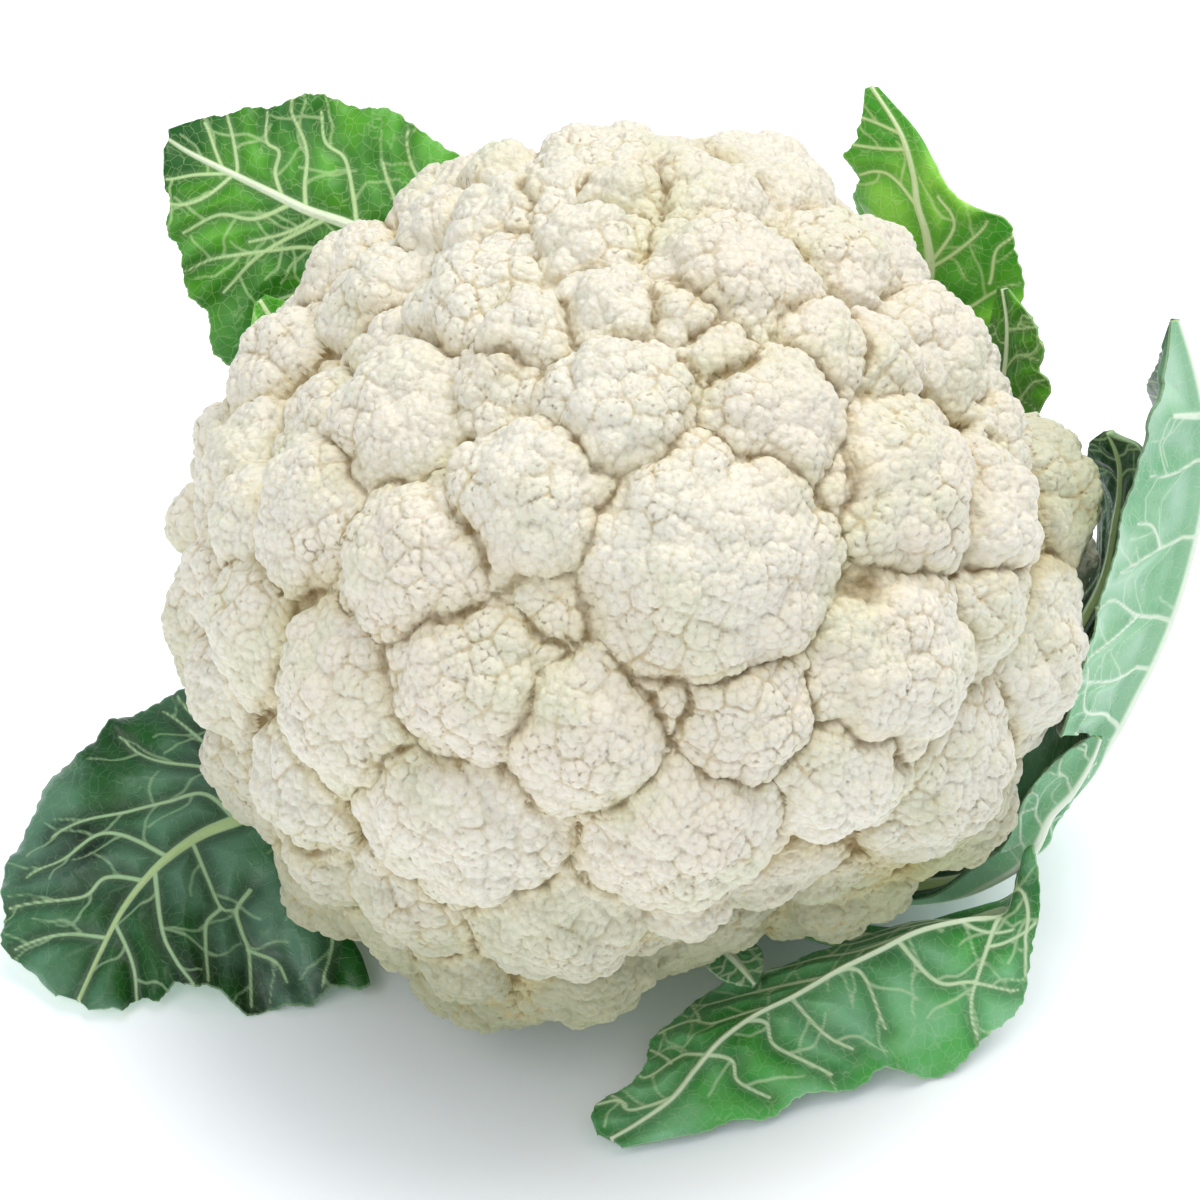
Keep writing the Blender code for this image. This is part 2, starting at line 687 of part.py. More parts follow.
def leaf_right_low():
    foot = stalk(-9, ((22.5, 20), (42, 15), (56, 11)), 3.8)
    return foot + [
        ((68, -12, 14), (70, -8, 14), (66, -16, 14)),
        ((77, -18, 24), (81, -14, 23), (74, -21, 27)),
        ((84, -22, 34), (88, -20, 31), (80, -24, 37)),
        ((88, -18, 40), (91, -17, 36), (83, -20, 44)),
        ((93, -14, 43), (95, -13, 40), (88, -15, 49)),
        ((97, -10, 48), (99, -9, 46), (94, -11, 52)),
        ((99, -8, 52), (100, -7.6, 51.6), (98, -8.4, 52.4)),
    ]


def leaf_under():
    foot = stalk(-57, ((22.5, 20), (33, 20)), 3.4)
    return foot + [
        ((22, -34, 18.5), (27, -31, 18.5), (17, -36, 18)),
        ((26, -39, 17), (31, -36, 17), (22, -42, 16.5)),
        ((29, -43, 15.5), (30, -42.4, 15.5), (28, -43.6, 15.5)),
    ]


def build():
    clear_scene()
    build_curd(principled("curd", CREAM, 0.75))
    build_stem(principled("stem", PALE_GREEN, 0.6))
    bright = principled("leaf_bright", BRIGHT_GREEN, 0.45)
    middle = principled("leaf_middle", MID_GREEN, 0.45)
    dark = principled("leaf_dark", DARK_GREEN, 0.45)
    grey = principled("leaf_grey", GREY_GREEN, 0.55)
    build_leaf(
        "leaf_front_left", leaf_front_left(), dark,
        rows=22, waves=3.5, wave_height=2.0, bulge=1.0,
    )
    build_leaf(
        "leaf_front_right", leaf_front_right(), middle,
        rows=28, wave_height=1.0, rib_height=1.5, rib_width=3.2,
    )
    build_leaf("leaf_back_left", leaf_back_left(), bright, rows=24, waves=4.0, wave_height=1.2)
    build_leaf("leaf_back_right", leaf_back_right(), bright, rows=22, waves=4.0, wave_height=1.5)
    build_leaf("leaf_right", leaf_right(), grey, rows=22, wave_height=0.8, rib_height=4.0)
    small = {"columns": 2, "waves": 2.0}
    build_leaf("leaf_back", leaf_back(), middle, rows=14, wave_height=1.2, **small)
    build_leaf(
        "leaf_back_right_small", leaf_back_right_small(), middle,
        rows=14, wave_height=1.0, **small,
    )
    build_leaf("leaf_back_left_small", leaf_back_left_small(), bright, rows=12, wave_height=0.6, **small)
    build_leaf("leaf_right_inner", leaf_right_inner(), dark, rows=12, wave_height=0.6, **small)
    build_leaf("leaf_right_low", leaf_right_low(), grey, rows=12, wave_height=0.4, **small)
    build_leaf("leaf_under", leaf_under(), middle, rows=8, wave_height=0.3, **small)


build()
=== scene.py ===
"""Looks of the cauliflower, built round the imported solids, in metres and in their frame.

The curd, the stem and every leaf are replaced by finer pieces of the same form. Their sizes are
in millimetres below, as in the solids' source, and are made metres when a mesh is written. The
materials, the floor and the lights are in metres.
"""

import math

import bmesh
import bpy
import numpy as np
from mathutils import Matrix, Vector
from mathutils.kdtree import KDTree


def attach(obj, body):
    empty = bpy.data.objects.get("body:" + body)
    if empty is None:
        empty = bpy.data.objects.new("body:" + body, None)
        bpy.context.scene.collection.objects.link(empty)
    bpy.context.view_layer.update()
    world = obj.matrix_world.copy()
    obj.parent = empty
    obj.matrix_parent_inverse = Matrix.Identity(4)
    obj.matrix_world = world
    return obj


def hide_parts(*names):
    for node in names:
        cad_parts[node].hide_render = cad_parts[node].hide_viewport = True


MM = 0.001
FAR = 1e9
TINY = 1e-6
STEEP = 0.9

# Camera: the picture is taken to be 1200 pixels square
PICTURE_MIDDLE = (600.0, 600.0)
PICTURE_HEAD = (612.0, 575.0)
PICTURE_ELEVATION = math.radians(40.0)
PICTURE_DISTANCE = 800.0
PICTURE_FOCAL_PIXELS = 4000.0
SENSOR_MM = 36.0
PICTURE_PIXELS = 1200.0

# Head, as in the solids' source
HEAD_CENTRE = np.array((0.0, 0.0, 88.0))
HEAD_RADIUS = 88.0
CORE_DEPTH = 13.0
CREASE_SMOOTHING = 2
ROOF_Z = 44.0
ROOF_RADIUS = 30.0
RIM_Z = 15.0
RIM_RADIUS = 54.0
# Rounded swells of the head: the pixel, the spread in degrees and the height
HEAD_SWELLS = {
    "upper_left": (325, 300, 24, -12),
    "top_left": (430, 180, 12, -3),
    "top": (700, 115, 18, 3),
    "left": (180, 560, 20, -1),
    "low_left": (235, 790, 14, -2),
    "low": (520, 1040, 20, 4),
    "low_right": (755, 985, 17, -23),
    "right_low": (1003, 846, 16, 4),
    "right": (1117, 545, 17, 9),
    "right_high": (990, 330, 14, -2),
    "upper_left_edge": (290, 345, 11, -7),
    "left_edge": (175, 640, 8, -4),
    "left_up_edge": (190, 480, 8, -3),
    "crown_left": (590, 115, 8, -4),
    "crown": (750, 120, 10, 2),
    "low_left_edge": (265, 905, 8, 4),
    "low_edge": (515, 1035, 9, 2),
    "low_right_edge": (1045, 735, 12, 2),
    "right_up_edge": (1078, 428, 6, -7),
}
# Florets that the picture shows: the pixel, the radius and the lift
SEEN_FLORETS = {
    "crown": (705, 165, 14, 1),
    "crown_left": (638, 172, 10, 0),
    "back_left_far": (500, 190, 13, 0),
    "back_far": (560, 176, 9, -1),
    "back_mid": (590, 222, 10, 0),
    "top": (745, 250, 17, 2),
    "top_right": (860, 235, 12, 1),
    "small_a": (615, 297, 10, 0),
    "upper_left": (472, 272, 17, 1),
    "left_shoulder": (375, 290, 13, -1),
    "small_b": (520, 322, 9, 1),
    "small_c": (690, 305, 6.5, -1),
    "small_d": (725, 348, 7, -1),
    "small_e": (835, 330, 10, 1),
    "right_far": (905, 225, 11, 0),
    "right_shoulder": (960, 325, 14, 2),
    "small_f": (893, 345, 9, 0),
    "middle_left": (620, 395, 15, 2),
    "middle_right": (790, 405, 15, 2),
    "small_g": (495, 370, 9, -1),
    "left_a": (378, 400, 18, 2),
    "left_b": (300, 405, 13, 0),
    "left_c": (525, 495, 15, 3),
    "right_a": (935, 480, 18, 3),
    "small_h": (848, 482, 7, -3),
    "centre": (725, 558, 25, 5),
    "left_d": (400, 565, 15, 2),
    "left_edge_a": (215, 470, 14, 0),
    "left_edge_b": (288, 500, 15, 1),
    "left_edge_c": (225, 635, 13, -1),
    "sunk_a": (540, 600, 13, -5),
    "low_left_a": (460, 690, 17, 2),
    "low_left_b": (580, 750, 15, 3),
    "low_left_c": (322, 715, 17, 1),
    "low_left_d": (282, 815, 13, 0),
    "small_i": (655, 700, 8, -4),
    "low_middle": (755, 730, 13, 1),
    "low_right_a": (925, 680, 20, 4),
    "low_right_b": (870, 785, 15, 2),
    "low_front": (690, 860, 18, 3),
    "right_edge_a": (1015, 600, 13, 1),
    "right_edge_b": (1055, 510, 15, 3),
    "right_edge_c": (1104, 480, 14, 3),
    "sunk_b": (872, 600, 8, -4),
    "front_left": (440, 850, 20, 2),
    "front_left_edge": (292, 890, 12, 0),
    "front": (545, 958, 17, 1),
    "front_right": (850, 890, 13, -4),
    "front_left_low": (400, 930, 13, 0),
    "front_low": (640, 955, 11, -2),
}
FILL_SEED = 11
FILL_CANDIDATES = 1600
FILL_RADIUS_RANGE = (11.0, 17.0)
FILL_LEAST_ROOM = 5.5
FILL_OVERLAP = 1.12
FILL_LIFT_RANGE = (-1.5, 1.5)
LOWEST_FLORET = math.radians(141.0)
BUD_SEED = 5
BUD_BASE_RADIUS = 4.6
BUD_RADIUS_PER_FLORET = 0.16
BUD_SPACING = 1.7
BUD_SINK = 0.60
BUD_REACH = math.radians(98.0)
BUD_JITTER = 0.07
BUD_SIZE_RANGE = (0.85, 1.15)
BUD_LEAST_COUNT = 10
PACKED_AREA = math.sqrt(3.0) / 2.0
GOLDEN_ANGLE = math.pi * (3.0 - math.sqrt(5.0))

# Fine surface of the curd
CURD_SUBDIVISIONS = 7
CURD_CUTS = 2
# Places tinged with an olive green, partly the curd's own green by the leaves and partly painted shade
# where the leaves shade it: the pixel, the spread in degrees and the strength
GREEN_PAINTED_SHADE_PLACES = {
    "behind_right_leaf": (1085, 500, 9, 1.0),
    "above_front_leaf": (930, 880, 9, 0.55),
}
BUD_RELIEF = 0.75
VALLEY_START = 2.5
VALLEY_SHARE = 0.42
CURD_SWELL = 0.9
SEAM_DEPTH = 1.5
SEAM_WIDTH = 1.0
SPREAD_SEED = 20
# Domes that the florets are covered with: their spacing, their height and the seed
CELLS = {
    "clump": (5.8, 1.0, 21),
    "granule": (2.0, 0.52, 22),
}
DOME_ROUNDNESS = 0.85
DOME_LEVEL = 0.62
SPACING_RANGE = (0.80, 1.20)
STEEPEST_SKIN = 0.15
FLATTER_SKIN = 0.50
APEX_FINENESS = 0.30
APEX_REACH = 0.55
BRANCH_COUNT = 11
BRANCH_DEPTH = 0.035
CUBE_MAP_SHARE = 0.97

# Stem
STEM_SIDES = 160
STEM_ROWS = 60
STEM_RIBS = 8
STEM_RIB_DEPTH = 0.05
STEM_TOP_GAP = 0.6
STEM_SHARP_ANGLE = math.radians(40.0)
CUT_EDGE = 1.2
STEM_PROFILE = (
    (19.3, CUT_EDGE),
    (19.8, 8.0),
    (20.0, 17.0),
    (20.4, 26.0),
    (22.4, 35.0),
    (25.0, ROOF_Z - STEM_TOP_GAP),
)
COLLAR_HEIGHT = 2.6
COLLAR_SPREAD = 5.5

# Leaves, as in the solids' source
BLADE_THICKNESS = 0.8
RIB_TIP_HEIGHT = 0.4
RIB_TIP_WIDTH = 0.9
SCALLOP = 0.9
SCALLOP_LARGEST_SHARE = 0.2
SCALLOPED_HALF_WIDTH = 9.0
SCALLOP_FADE = 3.0
WAVED_HALF_WIDTH = 8.0
FULLY_WAVED_HALF_WIDTH = 20.0
HEAD_CLEARANCE = 94.6
CLEAR_ABOVE_Z = 34.0
USUAL_BLADE = {
    "rows": 18,
    "waves": 3.0,
    "wave_height": 1.6,
    "bulge": 0.0,
    "scallops": 18,
    "rib_height": 4.6,
    "rib_width": 5.2,
    "ruffle": 1.0,
}

# Fine surface of the leaves
ROW_CUTS = 10
HALF_COLUMNS = 90
SMALL_HALF_COLUMNS = 32
COLUMN_CROWDING = 1.15
NORMAL_SMOOTHING = 24
TOOTH_SPACING = 3.4
TOOTH_DEPTH = 0.42
TOOTH_CROWDING = 10
TOOTH_LEAST_WIDTH = 0.5
# Waves that the teeth are made of: spacing and depth as shares, and the shift between the sides
TOOTH_WAVES = ((1.0, 0.5, 0.0), (0.37, 0.25, 1.0), (4.3, 0.35, 2.0))
RUFFLE_LENGTH = 13.0
RUFFLE_CROWDING = 3.0
RUFFLE_UNEVENNESS = 0.3
RUFFLE_DRIFT = 2.1
RUFFLE_SLANT = 2.2
VEIN_STEP = 0.25
VEIN_START_HALF_WIDTH = 0.34
VEIN_END_HALF_WIDTH = 0.10
VEIN_TAPER = 0.8
SMALL_VEIN_SCALE = 0.3
PUCKER_HEIGHT = 2.3
PUCKER_REACH = 5.5
QUILT_HEIGHT = 0.40
QUILT_REACH = 1.8
FLAT_EDGE = 8
VEIN_RAISE_ABOVE = 0.16
VEIN_RAISE_BELOW = 0.55
VEIN_SHOULDER = 0.45
VEIN_CURVE_STEPS = 10
LONG_VEIN = 30.0
NEAR_MIDRIB = 0.30
TWIG_SPACING = 7.0
TWIG_SPACING_RANGE = (0.8, 1.2)
TWIG_FIRST = 5.0
TWIG_LAST = 1.0
TWIG_LENGTH_RANGE = (7.0, 13.0)
TWIG_ANGLE_RANGE = (42.0, 62.0)
TWIG_STEPS = 5
TWIG_WANDER = 16.0
MIDRIB_SHOWN = 0.54
MIDRIB_TAPER = 0.5
MIDRIB_RAISE = 0.5
MIDRIB_ROUNDING = 1.6
MIDRIB_STIFFNESS = 3.0
SEEN_TOLERANCE = 2.5
EDGE_THINNING = 0.45
THINNED_EDGE = 4
LEAF_LOWEST = 0.4
# Ruled veins on the left and the right half of a leaf: where the first and the last leave the
# midrib, as shares of its length, and how many there are
RULED_VEINS = {
    "leaf_front_left": ((0.22, 0.38, 1), (0.22, 0.38, 2)),
    "leaf_front_right": ((0.25, 0.50, 2), (0.28, 0.97, 7)),
    "leaf_back_left": ((0.26, 0.46, 2), (0.26, 0.46, 2)),
    "leaf_back_right": ((0.30, 0.62, 3), (0.30, 0.52, 2)),
    "leaf_right": ((0.28, 0.96, 7), (0.22, 0.36, 1)),
}
SMALL_RULED_VEINS = ((0.45, 0.95, 4), (0.45, 0.95, 4))
RULED_STAGGER = 0.35
RULED_JITTER = 0.15
RULED_SWEEP = 0.24
RULED_SWEEP_JITTER = 0.03
RULED_SWEEP_END = 1.05
RULED_SWEEP_BEND = 0.75
RULED_STEPS = 7
RULED_REACH = 0.97
RULED_REACH_BEND = 0.9
RULED_WAVER = 0.012
RULED_WAVER_TURNS = 7.0
RULED_WAVER_SHIFT = 3.0
FORK_PLACE = 0.50
FORK_JITTER = 0.08
FORK_STEPS = 5
FORK_REACH = 0.96
FORK_START_BEND = 0.83
FORK_SWEEP = 0.30
FORK_BEND = 0.8
# Leaf map: the upper face's low corner and high corner, and how far the rim stands out
MAP_LOW = 0.02
MAP_HIGH_ACROSS = 0.47
MAP_HIGH_ALONG = 0.98
MAP_RIM = 1.012

# Finish of the curd, in display colours of 0 to 255
CURD_SKIN = ((234, 229, 214), (233, 225, 209))
# Heights in metres where the tint low on the curd starts and where it is full: painted shade, darker
# toward the bottom, with the lower florets' own green in it
CURD_SHADE_HEIGHTS = (0.096, 0.030)
# Soft patches: the noise's scale, and where they start and are full
CURD_PATCHES = {
    "skin": (16.0, 0.38, 0.62),
    "pale": (50.0, 0.45, 0.70),
    "patch": (70.0, 0.40, 0.64),
}
# Tints that follow the form: the measure, and where they start and are full. The tan at the borders of
# the granules and the clumps, in the seams and in the deep creases is partly the curd's own tan there and
# partly painted shade.
CURD_MEASURES = {
    "grain": ("granule", 0.56, 0.98),
    "clump": ("clump", 0.76, 1.0),
    "seam": ("seam", 1.8, 0.0),
    "wide_seam": ("seam", 7.0, 0.0),
    "depth": ("depth", 4.0, 14.0),
}
SEAM_UNEVENNESS = (240.0, 0.30, 0.70, 0.35, 1.0)
SPECK_SCALE = 620.0
SPECK_RANGE = (0.57, 0.66)
# Tints from the lowest up: where each shows, its share and its colour. The tint low on the head is
# painted shade, darker toward the bottom, with the lower florets' own green; the olive tint by the leaves
# is partly the curd's green and partly painted shade; the tan tints at the borders, seams and creases are
# partly the curd's own tan and partly painted shade; the pale patches, the specks and the hollow's tint
# are the curd's own colours.
CURD_TINTS = (
    ("pale", 1.0, (226, 223, 200)),
    ("low", 0.82, (142, 146, 106)),
    ("green_painted_shade", 0.78, (140, 152, 82)),
    ("grain", 0.20, (200, 186, 138)),
    ("clump_patch", 0.60, (188, 162, 98)),
    ("wide_seam", 0.26, (214, 196, 134)),
    ("depth", 0.36, (188, 168, 102)),
    ("uneven_seam", 0.90, (126, 96, 34)),
    ("specks", 0.58, (118, 92, 46)),
    ("hollow", 1.0, (214, 220, 168)),
)
BEAD_SCALE = 640.0
BEAD_SIZE = 0.9
SKIN_NOISE_SCALE = 1400.0

# Finish of the leaves

# Each face: the blade's dark and bright tones, the bloom, the veins and the midrib, and then the
# bloom's share, the roughness and the fine net's share. The bloom is the leaf's own grey-blue wax,
# laid on most fully on the bulges between the veins as a painted highlight.
LEAF_FACES = {
    "bright_above": (
        ((14, 90, 6), (94, 176, 26), (106, 178, 96), (200, 228, 162), (230, 240, 210)),
        (0.35, 0.40, 0.20),
    ),
    "fresh_above": (
        ((58, 154, 20), (150, 224, 70), (140, 210, 100), (224, 242, 176), (226, 240, 190)),
        (0.25, 0.40, 0.20),
    ),
    "middle_above": (
        ((18, 98, 32), (74, 166, 66), (150, 206, 164), (212, 232, 188), (226, 238, 202)),
        (0.62, 0.38, 0.14),
    ),
    "dark_above": (
        ((4, 34, 8), (22, 88, 24), (124, 172, 142), (176, 210, 160), (190, 214, 152)),
        (0.50, 0.34, 0.07),
    ),
    "below": (
        ((116, 180, 130), (156, 208, 162), (204, 232, 212), (230, 242, 218), (232, 242, 222)),
        (0.60, 0.50, 0.18),
    ),
}
# Upper faces of another tone than the one listed for their leaf
UPPER_FACES = {
    "leaf_back_right": "fresh",
    "leaf_back_left_small": "fresh",
    "leaf_back_right_small": "bright",
    "leaf_right": "dark",
    "leaf_right_low": "dark",
}
TONE_PATCHES = (38.0, 0.34, 0.62)
# The blade's bright patches kept to the bulges between the veins and dark in the valleys along them:
# painted light and painted shade on the puckers
PUCKER_LIGHT_AND_SHADE = (-0.5, 4.0, 0.2, 1.0)
BLOOM_PATCHES = (30.0, 0.44, 0.60)
BLOOM_DETAIL = 5.0
# The bloom fuller on the bulges between the veins than by them: painted highlight on the puckers over the
# leaf's own waxy bloom
BLOOM_HIGHLIGHT_ON_BULGES = (0.0, 5.0, 0.30, 1.0)
NET_BEND_SCALE = 260.0
NET_BEND = 0.0020
NET_SCALE = 420.0
NET_LINE = (0.060, 0.008)
# Where a blade takes the veins' colour: the measure, where it starts and is full, and its share
VEIN_TINTS = (
    ("vein_gap", 1.6, 0.0, 0.10),
    ("twig_gap", 0.42, -0.10, 0.50),
    ("share", 0.984, 1.0, 0.35),
    ("vein_gap", 0.40, -0.12, 0.88),
)
MIDRIB_TINT = (0.30, -0.25)
LEAF_NOISE_SCALE = 700.0

# Finish of the stem
STEM_SKIN = ((206, 216, 160), (176, 196, 120))
STEM_STREAKS = (1.0, 1.0, 0.15)
STEM_TONE_SCALE = 180.0
STEM_NOISE_SCALE = 500.0
CUT_FACE = ((236, 232, 200), (190, 200, 140))
CUT_RING = (0.0125, 0.0165)
CUT_SPOT_SCALE = 320.0
CUT_SPOT_SHARE = 0.4
CUT_SPOT_COLOUR = (205, 180, 130)

# Stage and lights
FLOOR_SIZE = 6.0
FLOOR_COLOUR = (0.94, 0.96, 0.99, 1.0)
FLOOR_GLOW = 0.42
FLOOR_GLOW_START = 0.05
FLOOR_GLOW_FULL = 0.15
WORLD_COLOUR = (0.83, 0.91, 1.0, 1.0)
WORLD_STRENGTH = 0.50
# Lights: the place, the aim, the size, the energy and the tint
LIGHTS = {
    "key": ((0.42, 0.30, 1.35), (0.0, 0.0, 0.08), 1.3, 15.5, (1.0, 0.98, 0.945)),
    "fill": ((-0.7, -1.0, 1.2), (0.0, 0.0, 0.08), 1.2, 8.0, (1.0, 0.98, 0.94)),
}
CAMERA_NEAR = 0.05


# Shared sums

def unit(vector):
    vector = np.asarray(vector, float)
    return vector / np.linalg.norm(vector)


def camera_axes():
    back = np.array((0.0, -math.cos(PICTURE_ELEVATION), math.sin(PICTURE_ELEVATION)))
    right = np.array((1.0, 0.0, 0.0))
    return right, np.cross(back, right), back


def camera_eye():
    right, up, back = camera_axes()
    scale = PICTURE_DISTANCE / PICTURE_FOCAL_PIXELS
    aim = HEAD_CENTRE - right * (PICTURE_HEAD[0] - PICTURE_MIDDLE[0]) * scale
    aim = aim - up * (PICTURE_MIDDLE[1] - PICTURE_HEAD[1]) * scale
    return aim + back * PICTURE_DISTANCE


def seen_direction(pixel_x, pixel_y, radius):
    """Direction from the head's centre to the place seen at a pixel on a ball about it."""
    right, up, back = camera_axes()
    across = right * (pixel_x - PICTURE_MIDDLE[0]) / PICTURE_FOCAL_PIXELS
    upward = up * (PICTURE_MIDDLE[1] - pixel_y) / PICTURE_FOCAL_PIXELS
    sight = unit(across + upward - back)
    from_centre = camera_eye() - HEAD_CENTRE
    along = from_centre @ sight
    inside = along * along - (from_centre @ from_centre - radius ** 2)
    reach = -along - math.sqrt(max(inside, 0.0))
    return unit(from_centre + sight * reach)


def seen_pixels(points):
    """Where the picture shows points, and how far off they are."""
    right, up, back = camera_axes()
    offset = points - camera_eye()
    depth = -(offset @ back)
    pixel_x = PICTURE_MIDDLE[0] + PICTURE_FOCAL_PIXELS * (offset @ right) / depth
    pixel_y = PICTURE_MIDDLE[1] - PICTURE_FOCAL_PIXELS * (offset @ up) / depth
    return pixel_x, pixel_y, depth


def grid_normals(points):
    normals = np.cross(np.gradient(points, axis=1), np.gradient(points, axis=0))
    return normals / np.maximum(np.linalg.norm(normals, axis=2), TINY)[..., None]


def lengths_to(line):
    """Length along a line of points up to each of them."""
    steps = np.linalg.norm(np.diff(line, axis=0), axis=1)
    return np.concatenate(((0.0,), np.cumsum(steps)))


def store(mesh, name, values):
    attribute = mesh.attributes.new(name, "FLOAT", "POINT")
    attribute.data.foreach_set("value", np.asarray(values, np.float32))


def add_piece(name, mesh, materials):
    """Adds a mesh that replaces the node of its name and takes the materials given."""
    for material in materials:
        mesh.materials.append(material)
    piece = bpy.data.objects.new(name + "_fine", mesh)
    bpy.context.scene.collection.objects.link(piece)
    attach(piece, "root")
    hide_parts(name)


# Curd

def swelling(directions, swells):
    """Height of rounded swells, placed by pixels, along each direction."""
    total = np.zeros(len(directions))
    for pixel_x, pixel_y, spread, height in swells.values():
        middle = seen_direction(pixel_x, pixel_y, HEAD_RADIUS)
        angle = np.degrees(np.arccos(np.clip(directions @ middle, -1.0, 1.0)))
        total += height * np.exp(-((angle / spread) ** 2))
    return total


def head_radius(directions):
    """Radius of the tops of the florets, with the head's swells, along each direction."""
    return HEAD_RADIUS + swelling(directions, HEAD_SWELLS)


def golden_directions(count):
    """Directions spread evenly over a sphere, from the top down."""
    steps = np.arange(count)
    height = 1.0 - (2.0 * steps + 1.0) / count
    flat = np.sqrt(1.0 - height * height)
    turn = steps * GOLDEN_ANGLE
    return np.stack((flat * np.cos(turn), flat * np.sin(turn), height), axis=1)


def seen_florets():
    florets = []
    for pixel_x, pixel_y, radius, lift in SEEN_FLORETS.values():
        direction = seen_direction(pixel_x, pixel_y, HEAD_RADIUS)
        ball = head_radius(direction[None])[0] + lift
        florets.append((seen_direction(pixel_x, pixel_y, ball), radius, lift))
    return florets


def fill_florets(florets):
    """Adds florets where there is most room, until all the head is covered."""
    draw = np.random.default_rng(FILL_SEED)
    places = golden_directions(FILL_CANDIDATES)
    places = places[places[:, 2] > math.cos(LOWEST_FLORET)]
    largest = draw.uniform(*FILL_RADIUS_RANGE, len(places))
    lifts = draw.uniform(*FILL_LIFT_RANGE, len(places))
    room = np.full(len(places), FAR)
    for direction, radius, _ in florets:
        away = np.linalg.norm(places - direction, axis=1) * HEAD_RADIUS
        room = np.minimum(room, away - radius)
    while True:
        fitted = np.minimum(room, largest)
        best = int(np.argmax(fitted))
        if fitted[best] < FILL_LEAST_ROOM:
            return florets
        radius = fitted[best] * FILL_OVERLAP
        florets.append((places[best], radius, lifts[best]))
        away = np.linalg.norm(places - places[best], axis=1) * HEAD_RADIUS
        room = np.minimum(room, away - fitted[best])


def rolled(axis, angle):
    """Three directions at right angles, the last along the axis, turned about it."""
    helper = (1.0, 0.0, 0.0) if abs(axis[2]) > STEEP else (0.0, 0.0, 1.0)
    first = unit(np.cross(helper, axis))
    second = np.cross(axis, first)
    return np.stack((
        first * math.cos(angle) + second * math.sin(angle),
        second * math.cos(angle) - first * math.sin(angle),
        axis,
    ))


def florets_with_buds(florets):
    """Each floret's ball and its buds' balls, about the head's centre, by the source's draws."""
    draw = np.random.default_rng(BUD_SEED)
    tops = head_radius(np.array([direction for direction, _, _ in florets]))
    grown = []
    for (direction, radius, lift), top in zip(florets, tops):
        middle = direction * (top + lift - radius)
        bud = BUD_BASE_RADIUS + BUD_RADIUS_PER_FLORET * radius
        spacing = bud * BUD_SPACING
        count = int(4.0 * math.pi * radius * radius / (spacing * spacing * PACKED_AREA))
        turn = draw.uniform(0.0, 2.0 * math.pi)
        places = golden_directions(max(count, BUD_LEAST_COUNT)) @ rolled(direction, turn)
        places = places + draw.normal(0.0, BUD_JITTER, places.shape)
        places = places / np.linalg.norm(places, axis=1)[:, None]
        sizes = bud * draw.uniform(*BUD_SIZE_RANGE, len(places))
        kept = places @ direction > math.cos(BUD_REACH)
        centres = middle + places[kept] * (radius - BUD_SINK * sizes[kept])[:, None]
        grown.append((middle, radius, centres, sizes[kept]))
    return grown


def sphere_exit(directions, centre, radius):
    """How far along each direction a ball ends, or zero where it is missed."""
    along = directions @ centre
    inside = along * along - (centre @ centre - radius * radius)
    hit = (inside > 0.0) & (along > 0.0)
    return np.where(hit, along + np.sqrt(np.maximum(inside, 0.0)), 0.0)


def hollow_reach(directions):
    """How far the hollow under the head lets each direction go."""
    down = -directions[:, 2]
    out = np.hypot(directions[:, 0], directions[:, 1])
    slope = (ROOF_Z - RIM_Z) / (RIM_RADIUS - ROOF_RADIUS)
    drop = HEAD_CENTRE[2] - ROOF_Z
    far = np.full(len(directions), FAR)
    below = down > TINY
    roof = np.where(below, drop / np.maximum(down, TINY), far)
    fall = down - slope * out
    cone = np.where(fall > TINY, (drop - slope * ROOF_RADIUS) / np.maximum(fall, TINY), far)
    on_roof = roof * out <= ROOF_RADIUS
    return np.where(below & on_roof, roof, np.where(below, cone, far))


def head_reach(directions, grown):
    """Distance to the surface, its lead over the next floret, and nearness to a floret's apex."""
    reach = head_radius(directions) - CORE_DEPTH
    second = reach.copy()
    apex = np.zeros(len(directions))
    for middle, radius, centres, sizes in grown:
        length = np.linalg.norm(middle)
        near = directions @ (middle / length) > math.cos(math.asin((radius + sizes.max()) / length))
        local = directions[near]
        ball = sphere_exit(local, middle, radius)
        best = ball
        for centre, size in zip(centres, sizes):
            best = np.maximum(best, sphere_exit(local, centre, size))
        best = np.where(ball > 0.0, ball + BUD_RELIEF * (best - ball), best)
        second[near] = np.maximum(second[near], np.minimum(reach[near], best))
        reach[near] = np.maximum(reach[near], best)
        angle = np.arccos(np.clip(local @ (middle / length), -1.0, 1.0)) * length / radius
        apex[near] = np.maximum(apex[near], np.exp(-((angle / APEX_REACH) ** 2)))
    return reach, reach - second, apex


def smoothed(values, edges, rounds):
    """Each value drawn half way to its neighbours' mean, in as many rounds as asked for."""
    count = np.bincount(edges.ravel(), minlength=len(values))
    for _ in range(rounds):
        total = np.bincount(edges[:, 0], weights=values[edges[:, 1]], minlength=len(values))
        total += np.bincount(edges[:, 1], weights=values[edges[:, 0]], minlength=len(values))
        values = 0.5 * values + 0.5 * total / count
    return values


def tree_of(points):
    tree = KDTree(len(points))
    for place, point in enumerate(points):
        tree.insert(point, place)
    tree.balance()
    return tree


def cell_shares(points, spacing, seed):
    """Each point's share of the way from its cell's middle to the border, in cells side by side."""
    tree = tree_of(points)
    free = np.ones(len(points), bool)
    middles = []
    for place in np.random.default_rng(seed).permutation(len(points)):
        if free[place]:
            middles.append(points[place])
            free[[index for _, index, _ in tree.find_range(points[place], spacing[place])]] = False
    middles = tree_of(middles)
    share = np.empty(len(points))
    for place, point in enumerate(points):
        (_, _, first), (_, _, second) = middles.find_n(point, 2)
        share[place] = first / second
    return share


def domes(share):
    return (1.0 - share ** 2) ** DOME_ROUNDNESS


